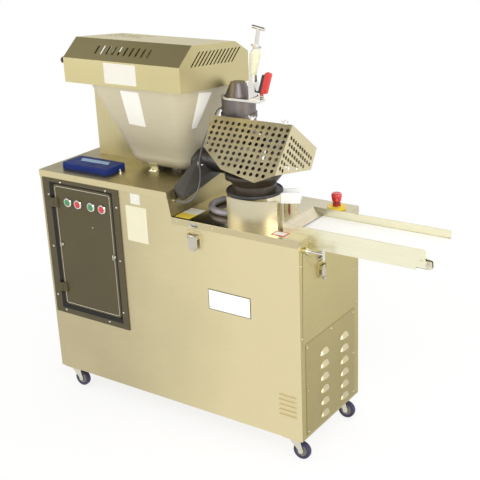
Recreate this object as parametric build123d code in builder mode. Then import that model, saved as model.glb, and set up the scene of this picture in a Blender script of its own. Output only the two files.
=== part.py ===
import math
import os
from build123d import *

os.makedirs("parts", exist_ok=True)

# Dough divider and rounder on casters, in millimetres. +X runs along the dough's way, -Y is the operator's side.

# Driving dimensions: cabinet
cab_len = 1320.0
cab_wid = 467.0
cab_high = 857.0
step_rise = 101.0
step_run = 19.0
sheet = 2.0
lip = 28.0
post = 30.0
pan = 4.0

# Driving dimensions: casters
caster_high = 106.0
caster_plate = 6.0
caster_side = 84.0
caster_inset_x = 56.0
caster_inset_y = 47.0
wheel_r = 38.0
wheel_w = 24.0
trail = 26.0

# Driving dimensions: hood, hopper and tower
hood_skirt = 100.0
hood_rise = 70.0
hood_slope_run = 88.0
hood_lift = 404.0
hood_fall = 36.0
hopper_wall = 3.0
hopper_high = 347.0
hopper_top_r = 70.0
hopper_low_r = 72.0
hopper_floor = 165.0
trough_r = 50.0
auger_r = 43.0
auger_pitch = 60.0
tower_deep = 144.0

# Driving dimensions: head and guard
head_r = 69.0
outlet_r = 40.0
guard_rise = 163.0
guard_run = 133.0
guard_drop = 40.0
guard_hole = 14.0
guard_pitch = 28.0
post_lean = 10.7

# Driving dimensions: rounder and conveyor
drum_r = 110.0
drum_high = 113.0
funnel_top_r = 116.0
funnel_low_r = 86.0
chute_reach = 182.0
chute_wid = 62.0
chute_high = 44.0
chute_wall = 4.0
track_r = 140.0
belt_wid = 213.0
belt_thick = 2.7
roller_r = 20.0
conveyor_reach = 505.0

# Clearances
turn_fit = 0.06
slide_fit = 0.3
gap = 0.5

# Cabinet planes
left = -(cab_len + conveyor_reach) / 2
right = left + cab_len
front = -cab_wid / 2 + 8
rear = front + cab_wid
base_z = caster_high
lower_z = base_z + cab_high
upper_z = lower_z + step_rise
step_top = left + 0.536 * cab_len
step_foot = step_top + step_run


def slab(x0, x1, y0, y1, z0, z1, mode=Mode.ADD):
    # box between two corners
    with Locations(((x0 + x1) / 2, (y0 + y1) / 2, (z0 + z1) / 2)):
        Box(x1 - x0, y1 - y0, z1 - z0, mode=mode)


def rod_x(x0, x1, y, z, r, mode=Mode.ADD):
    with Locations(Location((x0, y, z), (0, 90, 0))):
        Cylinder(r, x1 - x0, align=(Align.CENTER, Align.CENTER, Align.MIN), mode=mode)


def rod_y(x, y0, y1, z, r, mode=Mode.ADD):
    with Locations(Location((x, y0, z), (-90, 0, 0))):
        Cylinder(r, y1 - y0, align=(Align.CENTER, Align.CENTER, Align.MIN), mode=mode)


def rod_z(x, y, z0, z1, r, mode=Mode.ADD):
    with Locations((x, y, z0)):
        Cylinder(r, z1 - z0, align=(Align.CENTER, Align.CENTER, Align.MIN), mode=mode)


def side_prism(points, x0, x1, mode=Mode.ADD):
    # outline in Y and Z, drawn out along X
    with BuildSketch(Plane.YZ.offset(x0)) as outline:
        with BuildLine():
            Polyline(*points, close=True)
        make_face()
    extrude(outline.sketch, amount=x1 - x0, mode=mode)


def front_prism(points, y0, y1, mode=Mode.ADD):
    # outline in X and Z, drawn out along Y
    with BuildSketch(Plane.XZ.offset(-y1)) as outline:
        with BuildLine():
            Polyline(*points, close=True)
        make_face()
    extrude(outline.sketch, amount=y1 - y0, mode=mode)


def keep(piece, name):
    piece.part.label = name
    export_step(piece.part, f"parts/{name}.step")


# Casters: places and heights
caster_xs = (left + caster_inset_x, right - caster_inset_x)
caster_ys = (front + caster_inset_y, rear - caster_inset_y)
king_r = 6.0
axle_r = 4.0

# Base frame: floor pan, four corner posts and the caster plates under them
with BuildPart() as base_frame:
    slab(left + sheet, right - sheet, front + sheet, rear - sheet, base_z, base_z + pan)
    for x0, top in ((left + sheet, upper_z - sheet), (right - sheet - post, lower_z - sheet)):
        for y0 in (front + sheet, rear - sheet - post):
            slab(x0, x0 + post, y0, y0 + post, base_z, top)
    for x in caster_xs:
        for y in caster_ys:
            half = caster_side / 2
            slab(x - half, x + half, y - half, y + half, base_z - caster_plate, base_z)
            rod_z(x, y, base_z - caster_plate, base_z + pan, king_r + turn_fit, Mode.SUBTRACT)
keep(base_frame, "base_frame")

# Stepped outline shared by the front and rear panels
stepped = [
    (left, base_z),
    (right, base_z),
    (right, lower_z - sheet),
    (step_foot - sheet, lower_z - sheet),
    (step_foot - sheet, lower_z),
    (step_top - sheet, upper_z - sheet),
    (left, upper_z - sheet),
]

# Control place on the front panel
frame_x0 = left + 0.0115 * cab_len
frame_x1 = left + 0.341 * cab_len
frame_z0 = base_z + 0.334 * cab_high
frame_z1 = upper_z - lip - 3
open_x0 = frame_x0 + 61
open_x1 = frame_x1 - 38
open_z0 = frame_z0 + 47
open_z1 = frame_z1 - 20
frame_thick = 5.0

# Draw latch on the front panel, under the lower deck's lip
draw_x = left + 0.634 * cab_len
draw_z = lower_z - 60
draw_w = 44.0
draw_y = front - 12
pin_r = 3.0

with BuildPart() as front_panel:
    front_prism(stepped, front, front + sheet)
    slab(open_x0, open_x1, front, front + sheet, open_z0, open_z1, Mode.SUBTRACT)
    slab(draw_x - 30, draw_x + 30, front - 3, front, draw_z - 44, draw_z + 22)
    for x in (draw_x - draw_w / 2 - 5, draw_x + draw_w / 2 + 1):
        slab(x, x + 4, front - 18, front - 2, draw_z - 8, draw_z + 8)
        rod_x(x, x + 4, draw_y, draw_z, pin_r + turn_fit, Mode.SUBTRACT)
    for i in range(5):
        z = base_z + 100 + i * 22
        slab(right - 106, right - 26, front - 5, front, z, z + 6)
keep(front_panel, "front_panel")

with BuildPart() as draw_lever:
    rod_x(draw_x - draw_w / 2 - 5, draw_x + draw_w / 2 + 5, draw_y, draw_z, pin_r)
    rod_x(draw_x - draw_w / 2, draw_x + draw_w / 2, draw_y, draw_z, pin_r + 3)
    slab(draw_x - draw_w / 2, draw_x + draw_w / 2, draw_y - 3, draw_y, draw_z - 52, draw_z)
    slab(draw_x - 12, draw_x + 12, draw_y - 9, draw_y, draw_z - 58, draw_z - 50)
keep(draw_lever, "draw_latch_lever")

# Rear panel with the power cable's gland
gland_x = left + 0.12 * cab_len
gland_z = base_z + 120
gland_r = 6.5
with BuildPart() as rear_panel:
    front_prism(stepped, rear - sheet, rear)
    rod_y(gland_x, rear - 1, rear + 14, gland_z, 16)
    rod_y(gland_x, rear - sheet, rear + 14, gland_z, gland_r, Mode.SUBTRACT)
keep(rear_panel, "rear_panel")

with BuildPart() as left_panel:
    slab(left, left + sheet, front + sheet, rear - sheet, base_z, upper_z - sheet)
keep(left_panel, "left_panel")

# Conveyor places: it is let into the lower deck and the right end
conv_y0 = front + 0.167 * cab_wid
conv_y1 = conv_y0 + belt_wid + 12
conv_x0 = left + 0.913 * cab_len
conv_x1 = right + conveyor_reach - roller_r - belt_thick - 12
belt_z = lower_z - 1
roller_z = belt_z - belt_thick - roller_r
bed_low = roller_z - roller_r - belt_thick - 4
drive_x = conv_x0 + 32
tail_x = right + conveyor_reach - roller_r - belt_thick
guard_z = belt_z + 31
conv_plate = 3.0

# Right end panel with the side latch's base and the lock rod's boss
latch_y = front + 0.345 * cab_wid
latch_z = lower_z - 152
lock_y = front + 0.085 * cab_wid
lock_z = lower_z - 46
lock_r = 5.0
with BuildPart() as right_panel:
    slab(right - sheet, right, front + sheet, rear - sheet, base_z, lower_z - sheet)
    slab(right - sheet, right, conv_y0 - 1, conv_y1 + 1, bed_low, lower_z, Mode.SUBTRACT)
    slab(right, right + 4, latch_y - 22, latch_y + 22, latch_z - 34, latch_z + 24)
    for y in (latch_y - 19, latch_y + 14):
        slab(right, right + 18, y, y + 5, latch_z - 8, latch_z + 8)
        rod_y(right + 11, y, y + 5, latch_z, pin_r + turn_fit, Mode.SUBTRACT)
    rod_x(right, right + 8, lock_y, lock_z, 12)
    rod_x(right - sheet, right + 8, lock_y, lock_z, lock_r + turn_fit, Mode.SUBTRACT)
keep(right_panel, "right_panel")

with BuildPart() as side_lever:
    rod_y(right + 11, latch_y - 19, latch_y + 19, latch_z, pin_r)
    rod_y(right + 11, latch_y - 13, latch_y + 13, latch_z, pin_r + 3)
    slab(right + 11, right + 14, latch_y - 13, latch_y + 13, latch_z - 44, latch_z)
    slab(right + 11, right + 20, latch_y - 8, latch_y + 8, latch_z - 50, latch_z - 42)
keep(side_lever, "side_latch_lever")

with BuildPart() as lock_rod:
    rod_x(right - 16, right + 88, lock_y, lock_z, lock_r)
    rod_z(right + 84, lock_y, lock_z - 26, lock_z + 26, lock_r)
    rod_x(right + 8 + gap, right + 16, lock_y, lock_z, 10)
keep(lock_rod, "lock_rod")

# Louvred service panel, two columns of six louvres
vent_z1 = base_z + 0.49 * cab_high
vent_z0 = base_z + 14
louvre_w = 80.0
louvre_step = (vent_z1 - vent_z0 - 40) / 6
with BuildPart() as louvre_panel:
    slab(right, right + sheet, front + 36, rear - 36, vent_z0, vent_z1)
    for row in range(6):
        z = vent_z0 + 24 + row * louvre_step
        for y in (front + 0.33 * cab_wid, front + 0.71 * cab_wid):
            with BuildSketch(Plane.XZ.offset(-y - louvre_w / 2)):
                with BuildLine():
                    Polyline((right + 1, z), (right + 11, z + 2), (right + 1, z + 24), close=True)
                make_face()
            extrude(amount=louvre_w)
keep(louvre_panel, "louvre_panel")

# Upper deck: one bent sheet with its lips and the step down to the lower deck
cord_r = 3.0
step_gland = (step_top + step_run * 0.4, front + 0.077 * cab_wid, lower_z + 0.585 * step_rise)
with BuildPart() as upper_deck:
    bent = [
        (left - sheet, upper_z - lip),
        (left - sheet, upper_z),
        (step_top, upper_z),
        (step_foot, lower_z),
        (step_foot - sheet, lower_z),
        (step_top - sheet, upper_z - sheet),
        (left, upper_z - sheet),
        (left, upper_z - lip),
    ]
    front_prism(bent, front - sheet, rear + sheet)
    for y0 in (front - sheet, rear):
        slab(left - sheet, step_top, y0, y0 + sheet, upper_z - lip, upper_z)
    rod_x(step_gland[0] - 1, step_gland[0] + 8, step_gland[1], step_gland[2], 7)
keep(upper_deck, "upper_deck")

# Lower deck: lid with lips, cut out for the rounder's shaft and the conveyor
drum_x = left + 0.771 * cab_len
drum_y = front + 0.368 * cab_wid
shaft_r = 12.0
with BuildPart() as lower_deck:
    slab(step_foot - sheet, right + sheet, front - sheet, rear + sheet, lower_z - sheet, lower_z)
    for y0 in (front - sheet, rear):
        slab(step_foot, right + sheet, y0, y0 + sheet, lower_z - lip, lower_z)
    slab(right, right + sheet, front - sheet, rear + sheet, lower_z - lip, lower_z)
    slab(conv_x0, right + 2 * sheet, conv_y0, conv_y1, lower_z - lip - 1, lower_z + 1, Mode.SUBTRACT)
    rod_z(drum_x, drum_y, lower_z - sheet, lower_z, shaft_r + 2, Mode.SUBTRACT)
keep(lower_deck, "lower_deck")

# Hood and hopper places
hood_x0 = left + 0.163 * cab_len
hood_x1 = left + 0.615 * cab_len
hood_y0 = front
hood_y1 = front + 0.989 * cab_wid
hood_z0 = upper_z + hood_lift
eave_z = hood_z0 + hood_skirt
ridge_z = eave_z + hood_rise
hinge_y = hood_y1 + 8
hinge_z = hood_z0 - hood_fall - 2
hinge_r = 4.0
rail_z1 = hood_z0 - hood_fall - 8

# Tower at the rear left with the rail that carries the hood's hinge
tower_x0 = left + 0.053 * cab_len
tower_x1 = left + 0.239 * cab_len
tower_y0 = hood_y1 - tower_deep
knuckles = (left + 0.26 * cab_len, left + 0.52 * cab_len)
with BuildPart() as tower:
    slab(tower_x0, tower_x1, tower_y0, hood_y1, upper_z, rail_z1)
    slab(tower_x0 + sheet, tower_x1 - sheet, tower_y0 + sheet, hood_y1 - sheet, upper_z, rail_z1 - sheet, Mode.SUBTRACT)
    slab(tower_x1 - sheet, hood_x1 - 10, hood_y1 - 16, hood_y1, rail_z1 - 26, rail_z1)
    for x in knuckles:
        for x0 in (x - 35, x + 29):
            slab(x0, x0 + 6, hood_y1 - 10, hinge_y + 7, rail_z1 - 20, rail_z1)
            slab(x0, x0 + 6, hinge_y - 7, hinge_y + 7, rail_z1 - 20, hinge_z)
            rod_x(x0, x0 + 6, hinge_y, hinge_z, 7)
        rod_x(x - 35, x + 35, hinge_y, hinge_z, hinge_r)
keep(tower, "tower")


# Hood: chamfered cover with slotted ends, hinged along its rear edge, a little lower at the rear
def hood_outline(inset, low):
    return [
        (hood_y0 + inset, low),
        (hood_y0 + inset, eave_z - inset / 2),
        (hood_y0 + hood_slope_run + inset / 3, ridge_z - inset),
        (hood_y1 - hood_slope_run - inset / 3, ridge_z - 0.8 * hood_fall - inset),
        (hood_y1 - inset, eave_z - 0.33 * hood_fall - inset / 2),
        (hood_y1 - inset, low - hood_fall),
    ]


slope_len = math.hypot(hood_slope_run, hood_rise)
slope_mid = ((hood_x0 + hood_x1) / 2, hood_y0 + hood_slope_run / 2, eave_z + hood_rise / 2)
slope_plane = Plane(slope_mid, x_dir=(1, 0, 0), z_dir=(0, -hood_rise / slope_len, hood_slope_run / slope_len))
hood_len = hood_x1 - hood_x0
with BuildPart() as hood:
    side_prism(hood_outline(0, hood_z0), hood_x0, hood_x1)
    side_prism(hood_outline(sheet, hood_z0 - 1), hood_x0 + sheet, hood_x1 - sheet, Mode.SUBTRACT)
    slot_step = (hood_y1 - hood_y0 - 2 * hood_slope_run + 6) / 11
    for row in range(3):
        for i in range(12):
            y = hood_y0 + hood_slope_run - 14 + i * slot_step
            z = eave_z + 16 - 0.08 * (y - hood_y0) + row * 22 - 16
            slot = [(y - 8, z), (y, z), (y + 10, z + 17), (y + 2, z + 17)]
            side_prism(slot, hood_x0 - 1, hood_x1 + 1, Mode.SUBTRACT)
    with BuildSketch(slope_plane.offset(-10)):
        with Locations((-0.02 * hood_len, 0)):
            with GridLocations(0.05 * hood_len, 1, 10, 1):
                Rectangle(0.018 * hood_len, 0.4 * slope_len)
    extrude(amount=20, mode=Mode.SUBTRACT)
    with BuildSketch(Plane.XY.offset(ridge_z - hood_fall)):
        with Locations((hood_x0 + 0.2 * hood_len, (hood_y0 + hood_y1) / 2 - 20)):
            with GridLocations(0.03 * hood_len, 60, 8, 2):
                Rectangle(6, 40)
    extrude(amount=hood_fall + 6, mode=Mode.SUBTRACT)
    for x in knuckles:
        slab(x - 28, x + 28, hood_y1 - sheet, hinge_y, hinge_z + 5, hinge_z + 24)
        rod_x(x - 28, x + 28, hinge_y, hinge_z, hinge_r + 5)
        rod_x(x - 28, x + 28, hinge_y, hinge_z, hinge_r + turn_fit, Mode.SUBTRACT)
keep(hood, "hood")

with BuildPart() as hood_knob:
    rod_x(hood_x0 - 8, hood_x0, hood_y0 + 16, eave_z - 14, 6)
    rod_x(hood_x0 - 20, hood_x0 - 8, hood_y0 + 16, eave_z - 14, 13)
    fillet(hood_knob.edges().group_by(Axis.X)[0], 4)
keep(hood_knob, "hood_knob")

# Hopper: four sloping walls with round corners down to the deck, and a sloping floor over the auger's trough
auger_y = front + 0.6 * cab_wid
auger_z = upper_z + trough_r + 14
hop_x0 = left + 0.25 * cab_len
hop_x1 = left + 0.602 * cab_len
hop_y0 = front + 12
hop_y1 = front + 0.942 * cab_wid
hop_z0 = upper_z + 18
hop_z1 = auger_z + hopper_high
skirt_x0 = left + 0.258 * cab_len
skirt_x1 = left + 0.4504 * cab_len
skirt_y0 = front + 0.474 * cab_wid
skirt_y1 = front + 0.915 * cab_wid
low_x0 = left + 0.303 * cab_len
low_x1 = skirt_x1 + (hop_x1 - skirt_x1) * (auger_z - hop_z0) / (hop_z1 - hop_z0)


def box_ring(x0, x1, y0, y1, z, r):
    # flat ring of a funnel: a rectangle with round corners at one height
    with BuildSketch(Plane.XY.offset(z)) as ring:
        with Locations(((x0 + x1) / 2, (y0 + y1) / 2)):
            RectangleRounded(x1 - x0, y1 - y0, r)
    return ring.sketch


def hopper_ring(z, inset):
    # the hopper's outline at a height
    share = (z - hop_z0) / (hop_z1 - hop_z0)
    x0 = skirt_x0 + share * (hop_x0 - skirt_x0) + inset
    x1 = skirt_x1 + share * (hop_x1 - skirt_x1) - inset
    y0 = skirt_y0 + share * (hop_y0 - skirt_y0) + inset
    y1 = skirt_y1 + share * (hop_y1 - skirt_y1) - inset
    r = hopper_low_r + share * (hopper_top_r - hopper_low_r) - inset / 2
    return box_ring(x0, x1, y0, y1, z, r)


floor_z = auger_z + hopper_floor
with BuildPart() as hopper:
    loft([hopper_ring(hop_z0, 0), hopper_ring(hop_z1, 0)])
    loft([hopper_ring(hop_z0 - 0.01, hopper_wall), hopper_ring(hop_z1 + 0.01, hopper_wall)], mode=Mode.SUBTRACT)
    slot_y0 = auger_y - trough_r
    slot_y1 = auger_y + trough_r
    loft([box_ring(low_x0, low_x1 - 1.5, slot_y0, slot_y1, auger_z, 12), hopper_ring(floor_z, 1.5)])
    loft(
        [
            box_ring(low_x0 + 3, low_x1 - 4.5, slot_y0 + 3, slot_y1 - 3, auger_z - 0.01, 10),
            hopper_ring(floor_z + 0.01, 4.5),
        ],
        mode=Mode.SUBTRACT,
    )
    rod_x(low_x1 - 40, low_x1 + 60, auger_y, auger_z, trough_r + slide_fit, Mode.SUBTRACT)
    rod_x(low_x0 - 20, low_x0 + 6, auger_y, auger_z, 18 + slide_fit, Mode.SUBTRACT)
keep(hopper, "hopper")

# Trough, barrel and the auger's chain case at their left end
head_x = left + 0.658 * cab_len
head_y = front + 0.642 * cab_wid
barrel_x1 = head_x - 22
case_x0 = low_x0 - 38
auger_shaft_r = 10.0
with BuildPart() as trough:
    rod_x(low_x0, barrel_x1, auger_y, auger_z, trough_r)
    for x in (low_x0 + 24, low_x1 - 90):
        slab(x, x + 20, auger_y - 32, auger_y + 32, upper_z, auger_z - 20)
    slab(case_x0, low_x0 - 16, auger_y - 36, auger_y + 36, upper_z, auger_z + 20)
    slab(low_x0 - 1, low_x1, auger_y - trough_r, auger_y + trough_r, auger_z, auger_z + trough_r, Mode.SUBTRACT)
    rod_x(low_x0 - 17, low_x0 + 3, auger_y, auger_z, 18)
    rod_x(low_x0 + 3, barrel_x1, auger_y, auger_z, trough_r - 3.5, Mode.SUBTRACT)
    rod_x(case_x0 + 3, low_x0 + 3, auger_y, auger_z, auger_shaft_r + turn_fit, Mode.SUBTRACT)
keep(trough, "trough")

auger_x0 = low_x0 + 14
auger_x1 = barrel_x1 - 14
with BuildPart() as auger:
    rod_x(case_x0 + 5, auger_x1 + 10, auger_y, auger_z, auger_shaft_r)
    thread_start = (auger_x0 + 8, auger_y, auger_z)
    with BuildLine():
        thread = Helix(auger_pitch, auger_x1 - auger_x0 - 24, auger_shaft_r - 2, thread_start, (1, 0, 0))
    outward = thread @ 0 - Vector(*thread_start)
    with BuildSketch(Plane(thread @ 0, x_dir=outward, z_dir=thread % 0)):
        Rectangle(auger_r - auger_shaft_r + 2, 6, align=(Align.MIN, Align.CENTER))
    sweep(path=thread, is_frenet=True)
keep(auger, "auger")

# Gear motor that turns the auger through the chain case, hung under the upper deck
with BuildPart() as auger_motor:
    slab(case_x0 - 40, case_x0 + 50, auger_y - 50, auger_y + 50, upper_z - sheet - 130, upper_z - sheet)
    rod_x(case_x0 + 49, case_x0 + 280, auger_y, upper_z - sheet - 65, 58)
keep(auger_motor, "auger_gear_motor")

# Black head block: sits on the upper deck's right edge and hangs over the step
block_x0 = left + 0.527 * cab_len
block_x1 = left + 0.564 * cab_len
block_y0 = front + 0.128 * cab_wid
block_y1 = front + 0.72 * cab_wid
block_top = upper_z + 48
clip_x = step_top + 20
clip_y = front + 0.424 * cab_wid
with BuildPart() as head_block:
    hump_y = auger_y - trough_r
    profile = [
        (block_y0, upper_z),
        (block_y0, block_top - 16),
        (block_y0 + 30, block_top),
        (hump_y, block_top + 6),
        (hump_y + 6, auger_z + trough_r + 8),
        (block_y1, auger_z + trough_r + 8),
        (block_y1, upper_z),
    ]
    side_prism(profile, block_x0, block_x1)
    slab(step_foot, block_x1, block_y0, block_y1, lower_z + 0.66 * step_rise, upper_z)
    rod_x(block_x0, block_x1, auger_y, auger_z, trough_r + slide_fit, Mode.SUBTRACT)
    slab(clip_x - 6, clip_x + 6, clip_y - 5, clip_y + 5, block_top, block_top + 17)
keep(head_block, "head_block")

# Head: chamber on a pedestal, with the outlet tube and the bar that carries the guard
head_low = auger_z - trough_r - 14
head_top = hood_z0 - 66
crown_top = head_top + 62
outlet_y = head_y - 55
outlet_z = upper_z + 161
outlet_x1 = head_x + 125
ridge_y = front + 0.4176 * cab_wid
guard_top = upper_z + 282
bar_y = ridge_y + 37
bar_z = guard_top - 46
guard_x0 = left + 0.613 * cab_len
guard_x1 = left + 0.897 * cab_len
boss_z = head_top - 50
with BuildPart() as head_housing:
    rod_z(head_x, head_y + 0.55 * head_r, lower_z, head_low + 1, 24)
    rod_z(head_x, head_y + 0.55 * head_r, lower_z, lower_z + 8, 30)
    rod_z(head_x, head_y, head_low, head_top, head_r)
    rod_z(head_x, head_y, boss_z - 30, boss_z - 11, head_r + 5)
    with BuildSketch(Plane.XY.offset(head_top)) as crown_low:
        with Locations((head_x, head_y)):
            Circle(head_r - 11)
    with BuildSketch(Plane.XY.offset(crown_top)) as crown_high:
        with Locations((head_x, head_y)):
            Circle(head_r - 39)
    loft([crown_low.sketch, crown_high.sketch])
    rod_x(head_x - 20, outlet_x1, outlet_y, outlet_z, outlet_r)
    rod_x(head_x + 12, guard_x1, bar_y, bar_z, 7)
    rod_x(head_x - head_r - 8, head_x, head_y - 10, boss_z, 8)
    rod_z(head_x, head_y, head_low + 10, head_top - 12, head_r - 8, Mode.SUBTRACT)
    rod_x(head_x - 14, outlet_x1, outlet_y, outlet_z, outlet_r - 4, Mode.SUBTRACT)
    rod_x(head_x - head_r - 5, barrel_x1 + 1, auger_y, auger_z, trough_r + slide_fit, Mode.SUBTRACT)
keep(head_housing, "head_housing")

# Knife: sleeve that turns on the outlet tube, with a blade across its mouth
sleeve_r = outlet_r + 6
with BuildPart() as knife:
    rod_x(outlet_x1 - 40, outlet_x1 + 4, outlet_y, outlet_z, sleeve_r)
    rod_x(outlet_x1 - 40, outlet_x1 + 4, outlet_y, outlet_z, outlet_r + turn_fit, Mode.SUBTRACT)
    slab(outlet_x1 + 1, outlet_x1 + 4, outlet_y - 5, outlet_y + 5, outlet_z - outlet_r - 3, outlet_z + outlet_r + 3)
keep(knife, "knife")

# Friction roller and small motor that turn the knife
pinion_r = 20.0
pinion_y = outlet_y + sleeve_r + pinion_r + slide_fit
pinion_x0 = outlet_x1 - 34
with BuildPart() as knife_roller:
    rod_x(pinion_x0, pinion_x0 + 16, pinion_y, outlet_z, pinion_r)
    rod_x(pinion_x0 + 15, outlet_x1 + 24, pinion_y, outlet_z, 5)
keep(knife_roller, "knife_roller")

motor_x0 = outlet_x1 + 8
with BuildPart() as knife_motor:
    rod_x(motor_x0, motor_x0 + 90, pinion_y, outlet_z, 22)
    slab(head_x + head_r - 20, motor_x0 + 60, pinion_y - 24, pinion_y - 2, outlet_z + 22, outlet_z + 28)
    slab(motor_x0 + 8, motor_x0 + 60, pinion_y - 24, pinion_y - 2, outlet_z + 8, outlet_z + 23)
    rod_z(head_x, head_y, outlet_z, outlet_z + 60, head_r, Mode.SUBTRACT)
    rod_x(motor_x0, motor_x0 + 24, pinion_y, outlet_z, 5 + turn_fit, Mode.SUBTRACT)
keep(knife_motor, "knife_motor")

# Bracket: a yoke plate on the head's shoulder, with an upright for the post and the clamp's ears
bracket_z = head_top + 10
post_x = head_x + 104
post_y = head_y - 43
post_z = bracket_z + 104
clamp_x = post_x + 28
clamp_z = bracket_z + 20
with BuildPart() as head_bracket:
    rod_z(head_x, head_y, head_top, bracket_z, head_r)
    slab(head_x + 20, clamp_x + 9, post_y - 24, post_y + 24, head_top, bracket_z)
    rod_z(head_x, head_y, head_top, bracket_z, head_r - 10, Mode.SUBTRACT)
    slab(post_x - 15, post_x + 15, post_y - 16, post_y + 16, bracket_z, post_z - 34)
    with BuildSketch(Plane.XY.offset(post_z - 34)):
        with Locations((post_x, post_y)):
            RegularPolygon(17, 6)
    extrude(amount=26)
    for y in (post_y - 16, post_y + 12):
        slab(clamp_x - 14, clamp_x + 9, y, y + 4, bracket_z, clamp_z + 10)
        rod_y(clamp_x, y, y + 4, clamp_z, pin_r + turn_fit, Mode.SUBTRACT)
keep(head_bracket, "head_bracket")

lever_lean = 17.5
lever_x = math.sin(math.radians(lever_lean))
lever_z = math.cos(math.radians(lever_lean))
lever_plane = Plane((clamp_x, post_y, clamp_z), x_dir=(lever_z, 0, -lever_x), z_dir=(lever_x, 0, lever_z))
with BuildPart() as clamp_lever:
    rod_y(clamp_x, post_y - 16, post_y + 16, clamp_z, pin_r)
    rod_y(clamp_x, post_y - 11.5, post_y + 11.5, clamp_z, 8)
    with BuildSketch(lever_plane):
        Rectangle(12, 18)
    extrude(amount=82)
    with BuildSketch(lever_plane.offset(16)):
        with Locations((17, 0)):
            RectangleRounded(24, 26, 7)
    extrude(amount=82)
    fillet(clamp_lever.faces().sort_by(Axis.Z)[-1].edges(), 6)
keep(clamp_lever, "clamp_lever")

# Locking post that leans to the right, with its T-handled screw
lean_x = math.sin(math.radians(post_lean))
lean_z = math.cos(math.radians(post_lean))
post_plane = Plane((post_x, post_y, post_z), x_dir=(lean_z, 0, -lean_x), z_dir=(lean_x, 0, lean_z))


def post_disc(height, r):
    with BuildSketch(post_plane.offset(height)) as disc:
        Circle(r)
    return disc.sketch


with BuildPart() as lock_post:
    rod_z(post_x, post_y, post_z - 8, post_z + 3, 13)
    loft([post_disc(0, 15), post_disc(76, 22)])
    loft([post_disc(75.9, 22), post_disc(97, 13)])
    extrude(post_disc(30, 6 + turn_fit), amount=80, mode=Mode.SUBTRACT)
keep(lock_post, "lock_post")

with BuildPart() as t_handle:
    extrude(post_disc(36, 6), amount=70)
    extrude(post_disc(98, 14), amount=12)
    extrude(post_disc(104, 8), amount=72)
    for height, half, r in ((104, 23, 4), (176, 28, 7)):
        side = Plane(post_plane.offset(height).origin, x_dir=(0, 1, 0), z_dir=(lean_z, 0, -lean_x))
        with BuildSketch(side):
            Circle(r)
        extrude(amount=half, both=True)
keep(t_handle, "t_handle")

# Guard: perforated front sheet that leans back, and a perforated right side
guard_len = guard_x1 - guard_x0
lean = math.hypot(guard_rise, guard_run)
lean_plane = Plane(
    (guard_x0, ridge_y, guard_top),
    x_dir=(1, 0, 0),
    z_dir=(0, -guard_rise / lean, guard_run / lean),
)
front_outline = [
    (0, 0),
    (guard_len, 0),
    (guard_len, -lean),
    (0.8 * guard_len, -lean - guard_drop),
    (0.352 * guard_len, -lean - 0.2 * guard_drop),
    (0.04 * guard_len, -0.648 * lean),
]
side_outline = [
    (ridge_y, guard_top),
    (ridge_y + 176, guard_top - 134),
    (ridge_y + 129, guard_top - 211),
    (ridge_y - guard_run, guard_top - guard_rise),
]


def inside(outline, u, v, margin):
    # True where a point lies within an outline by at least the margin
    count = len(outline)
    area = sum(
        outline[i][0] * outline[(i + 1) % count][1] - outline[(i + 1) % count][0] * outline[i][1]
        for i in range(count)
    )
    turn = 1 if area > 0 else -1
    for i in range(count):
        (u0, v0), (u1, v1) = outline[i], outline[(i + 1) % count]
        edge = math.hypot(u1 - u0, v1 - v0)
        if turn * ((u1 - u0) * (v - v0) - (v1 - v0) * (u - u0)) / edge < margin:
            return False
    return True


def hole_places(outline, top_margin, margin):
    # staggered grid of holes, clear of the edges and of a plain strip along the top edge
    u_low = min(u for u, v in outline)
    u_high = max(u for u, v in outline)
    v_low = min(v for u, v in outline)
    v_high = max(v for u, v in outline)
    row_step = guard_pitch * 0.866
    places = []
    for row in range(int((v_high - v_low) / row_step) + 1):
        v = v_high - top_margin - row * row_step
        for column in range(int((u_high - u_low) / guard_pitch) + 2):
            u = u_low + column * guard_pitch + (row % 2) * guard_pitch / 2
            if inside(outline, u, v, margin):
                places.append((u, v))
    return places


with BuildPart() as guard_front:
    with BuildSketch(lean_plane):
        with BuildLine():
            Polyline(*front_outline, close=True)
        make_face()
        with Locations(*hole_places(front_outline, 36, 14)):
            RegularPolygon(guard_hole / 2, 8, mode=Mode.SUBTRACT)
    extrude(amount=-sheet)
    back_plane = Plane((guard_x0, ridge_y, guard_top), x_dir=(1, 0, 0), z_dir=(0, 134 / 221.2, 176 / 221.2))
    with BuildSketch(back_plane):
        Rectangle(guard_len, 14, align=(Align.MIN, Align.MIN))
    extrude(amount=-sheet)
keep(guard_front, "guard_front")

side_local = [(y - ridge_y, z - guard_top) for y, z in side_outline]
with BuildPart() as guard_side:
    with BuildSketch(Plane((guard_x1, ridge_y, guard_top), x_dir=(0, 1, 0), z_dir=(1, 0, 0))):
        with BuildLine():
            Polyline(*side_local, close=True)
        make_face()
        with Locations(*hole_places(side_local, 46, 14)):
            RegularPolygon(guard_hole / 2, 8, mode=Mode.SUBTRACT)
    extrude(amount=sheet)
    back_run = math.hypot(*side_local[1])
    cut = 14 / back_run
    rear_sheet = [
        (ridge_y + cut * side_local[1][0], guard_top + cut * side_local[1][1]),
        side_outline[1],
        side_outline[2],
        (side_outline[2][0] - sheet, side_outline[2][1]),
        (side_outline[1][0] - 1.6 * sheet, side_outline[1][1] - 0.2 * sheet),
        (
            ridge_y + cut * side_local[1][0] - sheet * 134 / back_run,
            guard_top + cut * side_local[1][1] - sheet * 176 / back_run,
        ),
    ]
    side_prism(rear_sheet, head_x + head_r + 22, guard_x1 + 0.5 * sheet)
keep(guard_side, "guard_side")

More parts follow.
